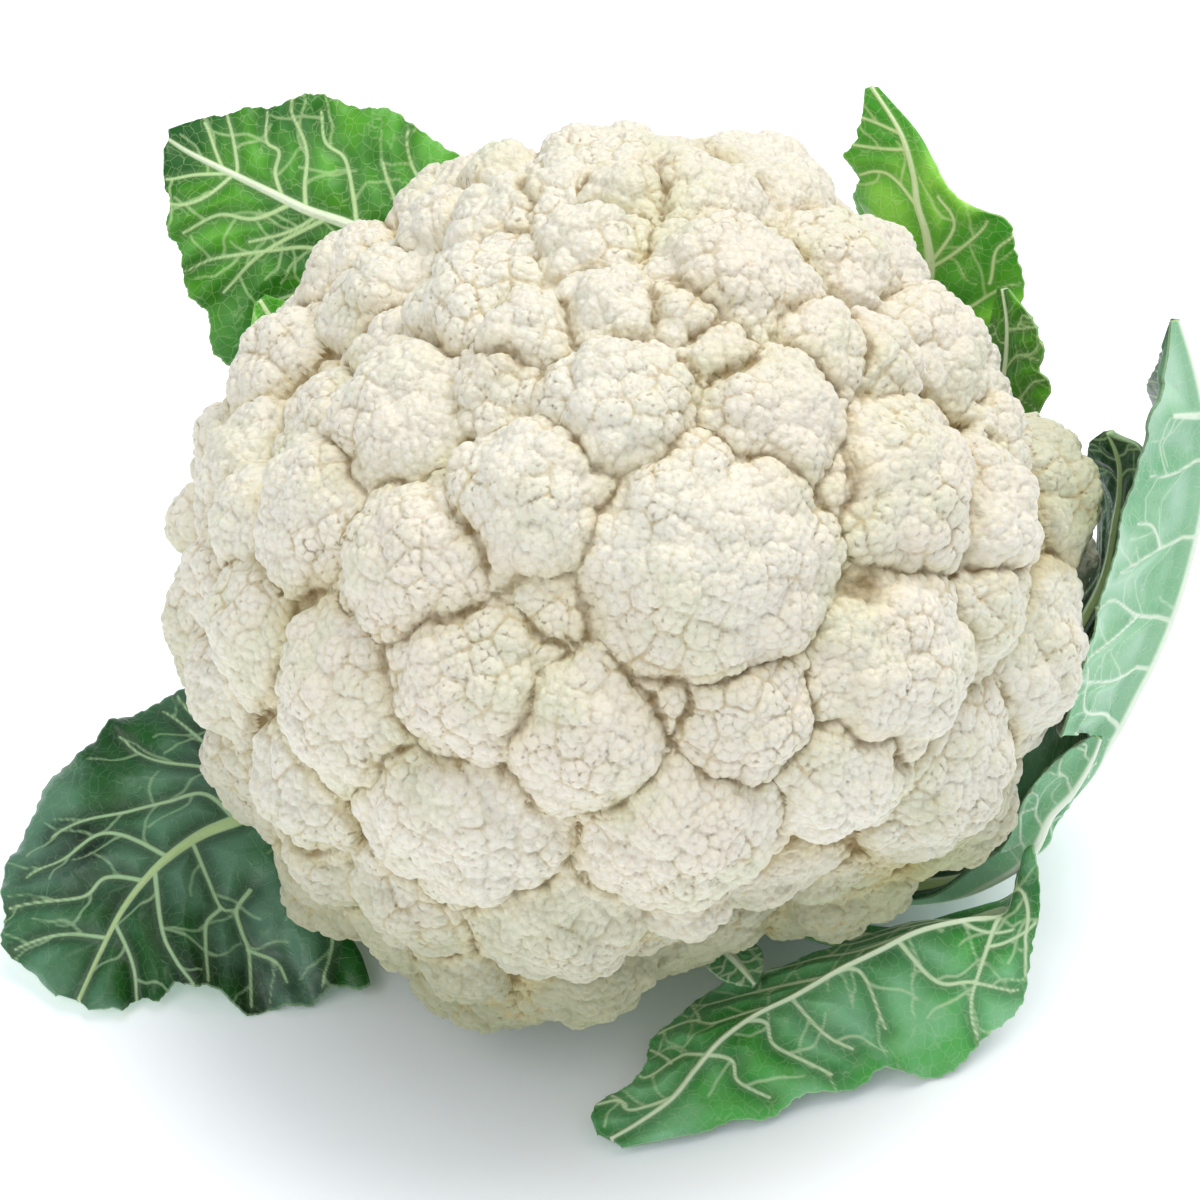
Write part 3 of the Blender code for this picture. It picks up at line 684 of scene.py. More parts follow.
def vertex_normals(mesh, points):
    mesh.vertices.foreach_set("co", points.ravel())
    mesh.update()
    normals = np.empty(len(points) * 3)
    mesh.vertex_normals.foreach_get("vector", normals)
    return normals.reshape(-1, 3)


def grown_cells(mesh, points, directions, spacing, height, seed, skin):
    """Raises a dome on each cell, less on steep places, and gives each point's share of its cell."""
    normals = vertex_normals(mesh, points)
    facing = np.sum(normals * directions, axis=1)
    steep = np.clip((facing - STEEPEST_SKIN) / (FLATTER_SKIN - STEEPEST_SKIN), 0.0, 1.0)
    share = cell_shares(points, spacing, seed)
    lift = height * (domes(share) - DOME_LEVEL) * skin * steep
    return points + normals * lift[:, None], share


def cube_map(mesh, directions):
    """Adds the map that a bake uses: the six sides of a cube about the head, side by side."""
    corners = np.empty(len(mesh.loops), dtype=np.int32)
    mesh.loops.foreach_get("vertex_index", corners)
    faces = directions[corners].reshape(-1, 3, 3)
    middles = faces.mean(axis=1)
    main = np.argmax(np.abs(middles), axis=1)
    rows = np.arange(len(faces))
    positive = middles[rows, main] > 0.0
    depth = np.abs(faces[rows[:, None], np.arange(3), main[:, None]])
    first = faces[rows[:, None], np.arange(3), ((main + 1) % 3)[:, None]]
    second = faces[rows[:, None], np.arange(3), ((main + 2) % 3)[:, None]]
    u = np.arctan2(first, depth) / (math.pi / 4.0) * np.where(positive, 1.0, -1.0)[:, None]
    v = np.arctan2(second, depth) / (math.pi / 4.0)
    u = (main[:, None] + 0.5 + 0.5 * CUBE_MAP_SHARE * u) / 3.0
    v = (np.where(positive, 0.0, 1.0)[:, None] + 0.5 + 0.5 * CUBE_MAP_SHARE * v) / 2.0
    layer = mesh.uv_layers.new(name="OFBake")
    layer.data.foreach_set("uv", np.stack((u, v), axis=2).ravel())


def fine_ball(name):
    """A finely divided ball, the direction of each of its points, and its edges' ends."""
    mesh = bpy.data.meshes.new(name)
    shape = bmesh.new()
    bmesh.ops.create_icosphere(shape, subdivisions=CURD_SUBDIVISIONS, radius=1.0)
    cuts = CURD_CUTS
    bmesh.ops.subdivide_edges(shape, edges=shape.edges[:], cuts=cuts, use_grid_fill=True)
    shape.to_mesh(mesh)
    shape.free()
    directions = np.empty(len(mesh.vertices) * 3)
    mesh.vertices.foreach_get("co", directions)
    directions = directions.reshape(-1, 3)
    directions /= np.linalg.norm(directions, axis=1)[:, None]
    edges = np.empty(len(mesh.edges) * 2, dtype=np.int32)
    mesh.edges.foreach_get("vertices", edges)
    return mesh, directions, edges.reshape(-1, 2)


def curd_form(directions, edges):
    """The curd before its domes, and the depth, the lead, the apex and the hollow at each point."""
    reach, seam, apex = head_reach(directions, florets_with_buds(fill_florets(seen_florets())))
    depth = head_radius(directions) - reach
    valley = np.maximum(depth - VALLEY_START, 0.0) * (1.0 - VALLEY_SHARE)
    reach = reach + valley + CURD_SWELL - SEAM_DEPTH * np.exp(-((seam / SEAM_WIDTH) ** 2))
    reach = smoothed(reach, edges, CREASE_SMOOTHING)
    roof = hollow_reach(directions)
    in_hollow = smoothed((reach > roof).astype(float), edges, CREASE_SMOOTHING)
    turn = np.arctan2(directions[:, 1], directions[:, 0])
    branches = 1.0 - BRANCH_DEPTH * (0.5 + 0.5 * np.cos(BRANCH_COUNT * turn)) * in_hollow
    points = HEAD_CENTRE + directions * np.minimum(reach, roof * branches)[:, None]
    return points, depth, seam, apex, in_hollow


def build_curd(material):
    mesh, directions, edges = fine_ball("curd_fine")
    points, depth, seam, apex, in_hollow = curd_form(directions, edges)
    measures = {"depth": depth, "seam": seam}
    spread = np.random.default_rng(SPREAD_SEED).uniform(*SPACING_RANGE, len(points))
    spread *= 1.0 - APEX_FINENESS * apex
    skin = 1.0 - in_hollow
    for name, (spacing, height, seed) in CELLS.items():
        grown = grown_cells(mesh, points, directions, spacing * spread, height, seed, skin)
        points, measures[name] = grown
    measures["hollow"] = in_hollow
    # An olive tint by the leaves: partly the curd's own green and partly painted shade
    measures["green_painted_shade"] = np.minimum(swelling(directions, GREEN_PAINTED_SHADE_PLACES), 1.0)
    mesh.vertices.foreach_set("co", (points * MM).ravel())
    mesh.update()
    mesh.shade_smooth()
    for name, values in measures.items():
        store(mesh, name, values)
    cube_map(mesh, directions)
    add_piece("curd", mesh, [material])


# Stem

def stem_points():
    """Rings of points up the stem, which swells where a stalk leaves it."""
    heights = np.linspace(0.0, STEM_PROFILE[-1][1], STEM_ROWS + 1)
    profile_heights = [0.0] + [height for _, height in STEM_PROFILE]
    profile_radii = [STEM_PROFILE[0][0] - CUT_EDGE] + [radius for radius, _ in STEM_PROFILE]
    turns = np.linspace(0.0, 2.0 * math.pi, STEM_SIDES, endpoint=False)
    height, turn = np.meshgrid(heights, turns, indexing="ij")
    radius = np.interp(height, profile_heights, profile_radii)
    radius *= 1.0 + STEM_RIB_DEPTH * (height / ROOF_Z) * np.cos(STEM_RIBS * turn)
    for (bearing, places, _), _ in LEAVES.values():
        level = places[0][1]
        apart = (turn - math.radians(bearing) + math.pi) % (2.0 * math.pi) - math.pi
        away = ((apart * radius) ** 2 + (height - level) ** 2) / COLLAR_SPREAD ** 2
        radius += COLLAR_HEIGHT * np.exp(-away) * np.clip((height - CUT_EDGE) / CUT_EDGE, 0.0, 1.0)
    return np.stack((radius * np.cos(turn), radius * np.sin(turn), height), axis=2).reshape(-1, 3)


def stem_faces():
    """Faces between the stem's rings, then its cut face and its top."""
    faces = []
    for row in range(STEM_ROWS):
        low, high = row * STEM_SIDES, (row + 1) * STEM_SIDES
        for side in range(STEM_SIDES):
            after = (side + 1) % STEM_SIDES
            faces.append((low + side, low + after, high + after, high + side))
    last = STEM_ROWS * STEM_SIDES
    faces.append(tuple(range(STEM_SIDES - 1, -1, -1)))
    faces.append(tuple(range(last, last + STEM_SIDES)))
    return faces


def build_stem(materials):
    mesh = bpy.data.meshes.new("stem_fine")
    points = stem_points() * MM
    mesh.from_pydata([tuple(point) for point in points], [], stem_faces())
    mesh.shade_smooth()
    mesh.set_sharp_from_angle(angle=STEM_SHARP_ANGLE)
    add_piece("stem", mesh, materials)
    cut_face = len(mesh.polygons) - 2
    mesh.polygons[cut_face].material_index = 1


# Leaves
#
# A leaf is a foot and a list of stations to its tip. The foot is a stalk: its bearing in degrees
# about the stem, the radius and the height of its places, and half its width. A station holds a
# point of the midrib, the edge on its left and the edge on its right, seen from the upper face
# with the tip ahead.
LEAVES = {
    "leaf_front_left": ((178, ((22.5, 10), (44, 9), (58, 12)), 5.8), (
        ((-66, 4, 17), (-55, -19, 7), (-76, 34, 22)),
        ((-74, 5, 19), (-51, -31, 3), (-82, 44, 24)),
        ((-79, 2, 19), (-60, -34, 3), (-90, 40, 25)),
        ((-86, -1, 18), (-72, -38, 3), (-102, 33, 22)),
        ((-92, -6, 17), (-81, -35, 4), (-113, 24, 20)),
        ((-97, -11, 15), (-89, -34, 6), (-123, 12, 16)),
        ((-102, -18, 12), (-95, -35, 4), (-128, -7, 10)),
        ((-106, -26, 8), (-101, -37, 3), (-126, -23, 6)),
        ((-110, -36, 4), (-108, -38, 3), (-115, -35, 4)),
    )),
    "leaf_front_right": ((-22, ((22.5, 8), (42, 7), (61, 8)), 4.2), (
        ((70, -22, 11), (72.5, -18, 11.5), (67.5, -26, 11)),
        ((79, -23, 16), (82.5, -20.5, 19), (75, -27, 15)),
        ((81, -27, 20), (84.5, -24.5, 31), (77, -29, 18)),
        ((81, -30.5, 23), (84, -26.5, 40), (76, -31, 20)),
        ((78, -34, 25.5), (87, -34, 29), (72, -31.5, 21.5)),
        ((71, -35.5, 26.5), (85, -40.5, 16), (64, -31, 22)),
        ((62, -37, 25), (80, -46, 7), (55, -32, 20)),
        ((54, -40, 22.5), (72, -52, 3), (46, -34, 17.5)),
        ((46, -43, 20), (63, -57, 3), (37, -35, 14)),
        ((37, -46.5, 16), (55, -58, 7), (26, -36, 9.5)),
        ((29, -50, 14), (46, -61.5, 4), (17, -40, 7)),
        ((22, -55, 12), (36, -65, 3), (10, -47, 6)),
        ((17, -60, 9), (27, -69, 3), (7, -54, 5.5)),
        ((12, -66, 6.5), (18, -72, 3), (2, -62, 5)),
        ((5, -71, 4.5), (10, -74, 3), (-4, -67, 4)),
        ((0, -74, 3.5), (2, -76, 3), (-3, -73, 3.5)),
    )),
    "leaf_back_left": ((128, ((22.5, 20), (46, 13), (68, 15), (88, 32), (96, 56)), 5.8), (
        ((-57, 77, 82), (-72, 70, 64), (-36, 92, 92)),
        ((-52, 79, 103), (-78, 70, 75), (-30, 94, 116)),
        ((-49, 79, 114), (-81, 70, 83), (-31, 92, 127)),
        ((-56, 81, 117), (-84, 74, 89), (-45, 96, 134)),
        ((-64, 83, 119), (-87, 76, 97), (-54, 98, 136)),
        ((-71, 86, 121), (-91, 79, 105), (-65, 99, 137)),
        ((-78, 89, 123), (-93, 82, 113), (-74, 99, 134)),
        ((-85, 92, 125), (-94, 87, 118), (-82, 99, 133)),
        ((-90, 95, 126), (-95, 92, 122), (-89, 99, 131)),
        ((-94, 98, 127), (-95, 96, 126), (-94, 99, 129)),
    )),
    "leaf_back_left_small": ((150, ((22.5, 10), (46, 9), (70, 16), (88, 36)), 5.0), (
        ((-76, 56, 62), (-84, 44, 60), (-66, 66, 66)),
        ((-70, 63, 84), (-80, 55, 84), (-60, 72, 88)),
        ((-68, 66, 95), (-77, 60, 96), (-60, 71, 100)),
        ((-71, 68, 100), (-76, 63, 100), (-66, 71, 103)),
        ((-74, 70, 105), (-75, 69, 105), (-73, 71, 106)),
    )),
    "leaf_back": ((96, ((22.5, 10), (46, 9), (72, 14), (92, 34)), 5.6), (
        ((-10, 99, 56), (-24, 95, 54), (6, 100, 54)),
        ((-9, 102, 76), (-30, 96, 74), (14, 101, 74)),
        ((-8, 107, 92), (-24, 102, 94), (12, 106, 92)),
        ((-7, 112, 103), (-16, 110, 104), (4, 112, 103)),
        ((-6, 116, 108), (-8, 116, 108), (-4, 116, 108)),
    )),
    "leaf_back_right": ((62, ((22.5, 20), (46, 13), (68, 15), (88, 32), (97, 56)), 5.8), (
        ((53, 82, 80), (38, 89, 78), (72, 68, 78)),
        ((64, 75, 97), (52, 84, 93), (77, 67, 91)),
        ((67, 74, 109), (55, 85, 106), (85, 66, 108)),
        ((66, 75, 118), (52, 86, 116), (83, 68, 123)),
        ((64, 77, 124), (51, 87, 125), (71, 75, 129)),
        ((63, 80, 130), (50, 88, 131), (67, 79, 134)),
        ((60, 84, 138), (52, 87.5, 138.5), (63.5, 84, 138.5)),
        ((54, 89, 146), (52.6, 89, 145.4), (55.4, 89, 146)),
    )),
    "leaf_back_right_small": ((36, ((22.5, 10), (46, 9), (70, 15), (89, 36)), 5.4), (
        ((78, 54, 60), (68, 66, 56), (86, 42, 60)),
        ((80, 52, 80), (71, 64, 76), (87, 39, 84)),
        ((81, 51, 92), (76, 59, 88), (89, 41, 101)),
        ((82, 53, 101), (77, 60, 97), (88, 45, 108)),
        ((82, 56, 109), (79, 61, 106), (87, 50, 113)),
        ((81, 60, 115), (80, 61, 115), (82, 59, 116)),
    )),
    "leaf_right_inner": ((17, ((22.5, 20), (46, 15), (70, 18), (94, 34), (107, 56)), 4.6), (
        ((105, 33, 76), (102, 42, 74), (109, 25, 76)),
        ((105, 33, 87), (100, 42, 82), (109, 27, 91)),
        ((104, 34, 92), (99, 40, 90), (108, 31, 96)),
        ((102, 36, 96), (101, 37, 95.5), (103, 35, 96)),
    )),
    "leaf_right": ((2, ((22.5, 10), (48, 9)), 5.0), (
        ((76, 2.6, 13), (75.6, 8, 13.5), (75.5, -7, 12)),
        ((94, 3, 28), (90, 25, 24), (95, -2, 29)),
        ((101, 1, 46), (101, 34, 36), (98, -5, 49)),
        ((105, 3, 55), (107, 36, 46), (88, -27, 70)),
        ((109, 6, 63), (111, 37, 54), (92, -22, 82)),
        ((113, 10, 74), (114, 38, 63), (94, -16, 91)),
        ((116, 14, 88), (116, 43, 76), (98, -10, 100)),
        ((117, 16, 99), (114, 45, 86), (101, -5, 108)),
        ((117, 18, 109), (112, 43, 98), (104, 3, 120)),
        ((115, 20, 118), (110, 37, 110), (106, 8, 126)),
        ((112.5, 21, 127), (110, 28, 124), (108.5, 15, 130)),
        ((110, 22, 134.5), (110, 23, 134.5), (109.5, 21.3, 135)),
    )),
    "leaf_right_low": ((-9, ((22.5, 20), (42, 15), (56, 11)), 3.8), (
        ((68, -12, 14), (70, -8, 14), (66, -16, 14)),
        ((77, -18, 24), (81, -14, 23), (74, -21, 27)),
        ((84, -22, 34), (88, -20, 31), (80, -24, 37)),
        ((88, -18, 40), (91, -17, 36), (83, -20, 44)),
        ((93, -14, 43), (95, -13, 40), (88, -15, 49)),
        ((97, -10, 48), (99, -9, 46), (94, -11, 52)),
        ((99, -8, 52), (100, -7.6, 51.6), (98, -8.4, 52.4)),
    )),
    "leaf_under": ((-57, ((22.5, 20), (33, 20)), 3.4), (
        ((22, -34, 18.5), (27, -31, 18.5), (17, -36, 18)),
        ((26, -39, 17), (31, -36, 17), (22, -42, 16.5)),
        ((29, -43, 15.5), (30, -42.4, 15.5), (28, -43.6, 15.5)),
    )),
}


def stalk(bearing, places, half_width):
    """Stations of a stalk that leaves the stem at a bearing, by (radius, height)."""
    turn = math.radians(bearing)
    out = np.array((math.cos(turn), math.sin(turn), 0.0))
    right = np.array((math.sin(turn), -math.cos(turn), 0.0))
    stations = []
    for radius, height in places:
        middle = out * radius + np.array((0.0, 0.0, height))
        stations.append((middle, middle - right * half_width, middle + right * half_width))
    return stations


def leaf_stations(name):
    foot, blade = LEAVES[name]
    return stalk(*foot) + list(blade)


def smooth_curve(points, steps):
    """Catmull-Rom curve through the points, read at even steps."""
    points = np.asarray(points, float)
    padded = np.vstack((2 * points[0] - points[1], points, 2 * points[-1] - points[-2]))
    places = np.linspace(0.0, len(points) - 1.0, steps + 1)
    first = np.minimum(places.astype(int), len(points) - 2)
    part = (places - first)[:, None]
    a, b, c, d = (padded[first + k] for k in range(4))
    curve = 2 * b + (c - a) * part + (2 * a - 5 * b + 4 * c - d) * part ** 2
    return 0.5 * (curve + (3 * b - a - 3 * c + d) * part ** 3)


# Fine surface of the leaves

def kept_off_head(points):
    """Moves points that are beside the head out to a ball that clears its buds."""
    from_centre = points - HEAD_CENTRE
    distance = np.linalg.norm(from_centre, axis=-1)
    low = points[..., 2] < CLEAR_ABOVE_Z
    scale = np.where((distance < HEAD_CLEARANCE) & ~low, HEAD_CLEARANCE / distance, 1.0)
    return HEAD_CENTRE + from_centre * scale[..., None]


def edge_teeth(edge, side):
    """Small uneven teeth along an edge, in mm."""
    length = lengths_to(edge)
    teeth = np.zeros(len(edge))
    for spacing, depth, shift in TOOTH_WAVES:
        teeth += depth * np.sin(2.0 * math.pi * length / (TOOTH_SPACING * spacing) + shift * side)
    return TOOTH_DEPTH * teeth


def ruffles(edge, shares):
    """Waves of 1 mm that grow toward an edge and are unevenly long."""
    turns = lengths_to(edge) / RUFFLE_LENGTH
    turns = turns + RUFFLE_UNEVENNESS * np.sin(RUFFLE_DRIFT * turns)
    return np.sin(2.0 * math.pi * turns[:, None] - RUFFLE_SLANT * shares) * shares ** RUFFLE_CROWDING


def fine_half(middle, edge, side, normal, form, shares):
    """One half of the upper face, the rib's depth and the gap to the midrib's edge, by row."""
    along = np.linspace(0.0, 1.0, len(middle))[:, None]
    rib_width = form["rib_width"] + (RIB_TIP_WIDTH - form["rib_width"]) * along
    rib_height = form["rib_height"] + (RIB_TIP_HEIGHT - form["rib_height"]) * along
    reach = edge - middle
    width = np.linalg.norm(reach, axis=1)[:, None]
    broad = np.clip((width - SCALLOPED_HALF_WIDTH) / SCALLOP_FADE, 0.0, 1.0)
    scallop = np.minimum(SCALLOP / width, SCALLOP_LARGEST_SHARE)
    scallop = broad * scallop * np.sin(math.pi * form["scallops"] * along)
    waved = (width - WAVED_HALF_WIDTH) / (FULLY_WAVED_HALF_WIDTH - WAVED_HALF_WIDTH)
    waved = np.clip(waved, 0.0, 1.0)
    wave = form["wave_height"] * np.sin(2.0 * math.pi * form["waves"] * along + side)
    lift = waved * (form["bulge"] * 4.0 * shares * (1.0 - shares) + wave * shares ** 2)
    lift = lift + waved * (form["ruffle"] * ruffles(edge, shares))
    toothed = np.clip(width / SCALLOPED_HALF_WIDTH - TOOTH_LEAST_WIDTH, 0.0, 1.0)
    teeth = toothed * edge_teeth(edge, side)[:, None]
    stretch = shares * (1.0 + scallop * shares) + teeth / width * shares ** TOOTH_CROWDING
    points = middle[:, None] + stretch[..., None] * reach[:, None] + lift[..., None] * normal[:, None]
    depth = rib_height * np.clip(1.0 - (shares * width / rib_width) ** 2, 0.0, 1.0)
    gap = shares * width - MIDRIB_SHOWN * rib_width * (1.0 - MIDRIB_TAPER * along)
    return points, depth, gap


def joined(left, right):
    """One row from edge to edge out of its two halves, which share the midrib."""
    return np.concatenate((left[:, :0:-1], right), axis=1)


def evened(normals):
    for _ in range(NORMAL_SMOOTHING):
        padded = np.pad(normals, ((1, 1), (1, 1), (0, 0)), mode="edge")
        normals = 2.0 * normals + padded[:-2, 1:-1] + padded[2:, 1:-1]
        normals += padded[1:-1, :-2] + padded[1:-1, 2:]
        normals /= np.linalg.norm(normals, axis=2)[..., None]
    return normals


def read_grid(grid, rows, columns):
    """Grid values between its points."""
    row = np.clip(rows, 0.0, grid.shape[0] - 1.001)
    column = np.clip(columns, 0.0, grid.shape[1] - 1.001)
    r, c = row.astype(int), column.astype(int)
    u, v = (row - r)[:, None], (column - c)[:, None]
    near = grid[r, c] * (1.0 - v) + grid[r, c + 1] * v
    far = grid[r + 1, c] * (1.0 - v) + grid[r + 1, c + 1] * v
    return near * (1.0 - u) + far * u


def seen_places(route, pixels, half):
    """Grid places that the picture shows at the pixels of a vein's route."""
    pixel_x, pixel_y, depth = pixels
    places = []
    for x, y in route:
        away = np.hypot(pixel_x - x, pixel_y - y)
        reachable = away < away.min() + SEEN_TOLERANCE
        nearest = np.argmin(np.where(reachable, depth, FAR))
        places.append(np.unravel_index(nearest, depth.shape))
    places = np.array(places, float)
    if abs(places[0, 1] / half - 1.0) ** COLUMN_CROWDING < NEAR_MIDRIB:
        places[0, 1] = half
    return places


def ruled_routes(rows, half, ruled, seed):
    """Grid places of side veins that leave the midrib at even steps and fork near the edge."""
    draw = np.random.default_rng(seed)
    routes = []
    for side, (first, last, count) in zip((-1, 1), ruled):
        for k in range(count):
            place = k + RULED_STAGGER * (side > 0) + draw.uniform(-RULED_JITTER, RULED_JITTER)
            start = first + (last - first) * place / count
            sweep = RULED_SWEEP + draw.uniform(-RULED_SWEEP_JITTER, RULED_SWEEP_JITTER)
            sweep *= RULED_SWEEP_END - start
            steps = np.linspace(0.0, 1.0, RULED_STEPS)
            waver = RULED_WAVER * np.sin(RULED_WAVER_TURNS * steps + RULED_WAVER_SHIFT * k)
            along = start + sweep * steps ** RULED_SWEEP_BEND + waver
            share = RULED_REACH * steps ** RULED_REACH_BEND
            routes.append(grid_route(along, side * share, rows, half))
            fork = FORK_PLACE + draw.uniform(-FORK_JITTER, FORK_JITTER)
            steps = np.linspace(0.0, 1.0, FORK_STEPS)
            along = start + sweep * fork ** FORK_START_BEND - FORK_SWEEP * sweep * steps ** FORK_BEND
            share = fork + (FORK_REACH - fork) * steps
            routes.append(grid_route(along, side * share, rows, half))
    return routes


def grid_route(along, share, rows, half):
    column = half + np.sign(share) * half * np.abs(share) ** (1.0 / COLUMN_CROWDING)
    return np.stack((np.clip(along, 0.0, 1.0) * (rows - 1), column), axis=1)


def curve_on(route, grid):
    """A route as many grid places, with their points and the length up to each."""
    fine = smooth_curve(route, VEIN_CURVE_STEPS * (len(route) - 1))
    line = read_grid(grid, fine[:, 0], fine[:, 1])
    return fine, line, lengths_to(line)


def twig_route(place, heading, length, grid, draw):
    """Grid places of one short branch that wanders off from a place in a direction."""
    places = [place]
    for _ in range(TWIG_STEPS):
        row, column = places[-1]
        here = read_grid(grid, np.array((row,)), np.array((column,)))[0]
        by_row = read_grid(grid, np.array((row + 1.0,)), np.array((column,)))[0] - here
        by_column = read_grid(grid, np.array((row,)), np.array((column + 1.0,)))[0] - here
        normal = np.cross(by_row, by_column)
        if np.linalg.norm(normal) < TINY:
            break
        turn = math.radians(draw.normal(0.0, TWIG_WANDER))
        heading = heading * math.cos(turn) + np.cross(unit(normal), heading) * math.sin(turn)
        axes = np.stack((by_row, by_column), axis=1)
        move = np.linalg.lstsq(axes, heading * length / TWIG_STEPS, rcond=None)[0]
        places.append(places[-1] + move)
        inside = np.clip(places[-1], 0.0, np.array(grid.shape[:2]) - 2.0)
        if np.any(inside != places[-1]):
            break
    return np.array(places)


def grid_normal(grid, place):
    """Normal of the grid's cell that holds a place, at its own length."""
    row, column = place.astype(int)
    row, column = min(row, grid.shape[0] - 2), min(column, grid.shape[1] - 2)
    corner = grid[row, column]
    return np.cross(grid[row + 1, column] - corner, grid[row, column + 1] - corner)


def twigs(routes, grid, seed):
    """Short branches along every vein, on both sides in turn."""
    draw = np.random.default_rng(seed)
    found = []
    for route in routes:
        fine, line, length = curve_on(route, grid)
        side = 1.0
        spacing = TWIG_SPACING * draw.uniform(*TWIG_SPACING_RANGE)
        for at in np.arange(TWIG_FIRST, length[-1] - TWIG_LAST, spacing):
            index = min(int(np.searchsorted(length, at)), len(line) - 2)
            tangent = unit(line[index + 1] - line[index])
            across = unit(np.cross(grid_normal(grid, fine[index]), tangent)) * side
            angle = math.radians(draw.uniform(*TWIG_ANGLE_RANGE))
            heading = tangent * math.cos(angle) + across * math.sin(angle)
            places = twig_route(fine[index], heading, draw.uniform(*TWIG_LENGTH_RANGE), grid, draw)
            if len(places) > 2:
                found.append(places)
            side = -side
    return found


def vein_samples(routes, grid, scale):
    """Points every fraction of a mm along the veins, and the half width of the vein there."""
    points = []
    widths = []
    for route in routes:
        _, line, length = curve_on(route, grid)
        at = np.arange(0.0, length[-1], VEIN_STEP)
        points.append(np.stack([np.interp(at, length, line[:, k]) for k in range(3)], axis=1))
        longness = min(length[-1] / LONG_VEIN, 1.0)
        full = VEIN_END_HALF_WIDTH + (VEIN_START_HALF_WIDTH - VEIN_END_HALF_WIDTH) * longness
        widths.append(full + (VEIN_END_HALF_WIDTH - full) * (at / length[-1]) ** VEIN_TAPER)
    return np.vstack(points), np.concatenate(widths) * scale


def vein_gap(grid, routes, midrib_gap, scale):
    """Distance from each point to the edge of the nearest vein, less than zero inside it."""
    points, widths = vein_samples(routes, grid, scale)
    tree = tree_of(points)
    gap = np.empty(grid.shape[0] * grid.shape[1])
    for place, point in enumerate(grid.reshape(-1, 3)):
        _, index, distance = tree.find(point)
        gap[place] = distance - widths[index]
    return np.minimum(gap.reshape(midrib_gap.shape), midrib_gap)


def sheet_quads(count_along, count_across):
    """Faces of the upper face, of the lower one and of the rim between, in that order."""
    size = count_along * count_across
    index = np.arange(size).reshape(count_along, count_across)
    a, b = index[:-1, :-1].ravel(), index[:-1, 1:].ravel()
    c, d = index[1:, 1:].ravel(), index[1:, :-1].ravel()
    upper = np.stack((a, b, c, d), axis=1)
    lower = np.stack((a, d, c, b), axis=1) + size
    border = np.concatenate((index[0], index[1:, -1], index[-1, -2::-1], index[-2:0:-1, 0]))
    after = np.roll(border, -1)
    rim = np.stack((border, border + size, after + size, after), axis=1)
    return upper, lower, rim


def leaf_map(mesh, faces, count_along, count_across):
    """Adds the map that a bake uses: the upper face on the left, the lower on the right."""
    upper, lower, rim = faces
    columns = np.linspace(MAP_LOW, MAP_HIGH_ACROSS, count_across)
    across, along = np.meshgrid(columns, np.linspace(MAP_LOW, MAP_HIGH_ALONG, count_along))
    flat = np.stack((across.ravel(), along.ravel()), axis=1)
    middle = np.array(((MAP_LOW + MAP_HIGH_ACROSS) / 2.0, (MAP_LOW + MAP_HIGH_ALONG) / 2.0))
    outward = middle + (flat - middle) * MAP_RIM
    places = np.vstack((flat, flat + (0.5, 0.0)))
    rim_places = np.vstack((flat, outward))
    sides = (places[upper], places[lower], rim_places[rim])
    loops = np.concatenate([side.reshape(-1, 2) for side in sides])
    layer = mesh.uv_layers.new(name="OFBake")
    layer.data.foreach_set("uv", loops.ravel())


def leaf_grid(name, form, half):
    """Upper face of a leaf as a grid, with the rib's depth, the midrib's gap and the edge's share."""
    rows = form["rows"] * ROW_CUTS
    stations = leaf_stations(name)
    middle, left, right = (smooth_curve([station[k] for station in stations], rows) for k in range(3))
    normal = np.cross(right - left, np.gradient(middle, axis=0))
    normal /= np.linalg.norm(normal, axis=1)[:, None]
    shares = (np.arange(half + 1) / half) ** COLUMN_CROWDING
    left_half = fine_half(middle, left, -1, normal, form, shares)
    right_half = fine_half(middle, right, 1, normal, form, shares)
    upper, depth, midrib_gap = (joined(a, b) for a, b in zip(left_half, right_half))
    share = joined(*[np.tile(shares, (rows + 1, 1))] * 2)
    return kept_off_head(upper), depth, midrib_gap, share


def leaf_gaps(name, upper, midrib_gap, half, ruled, scale):
    """Distance from each point to the nearest vein, and to the nearest vein or twig."""
    pixels = seen_pixels(upper)
    places = [seen_places(route, pixels, half) for route in VEINS.get(name, ())]
    places += ruled_routes(len(upper), half, ruled, len(name))
    gap = vein_gap(upper, places, midrib_gap, scale)
    twig_gap = vein_gap(upper, twigs(places, upper, len(name)), midrib_gap, scale)
    return gap, np.minimum(twig_gap, gap)


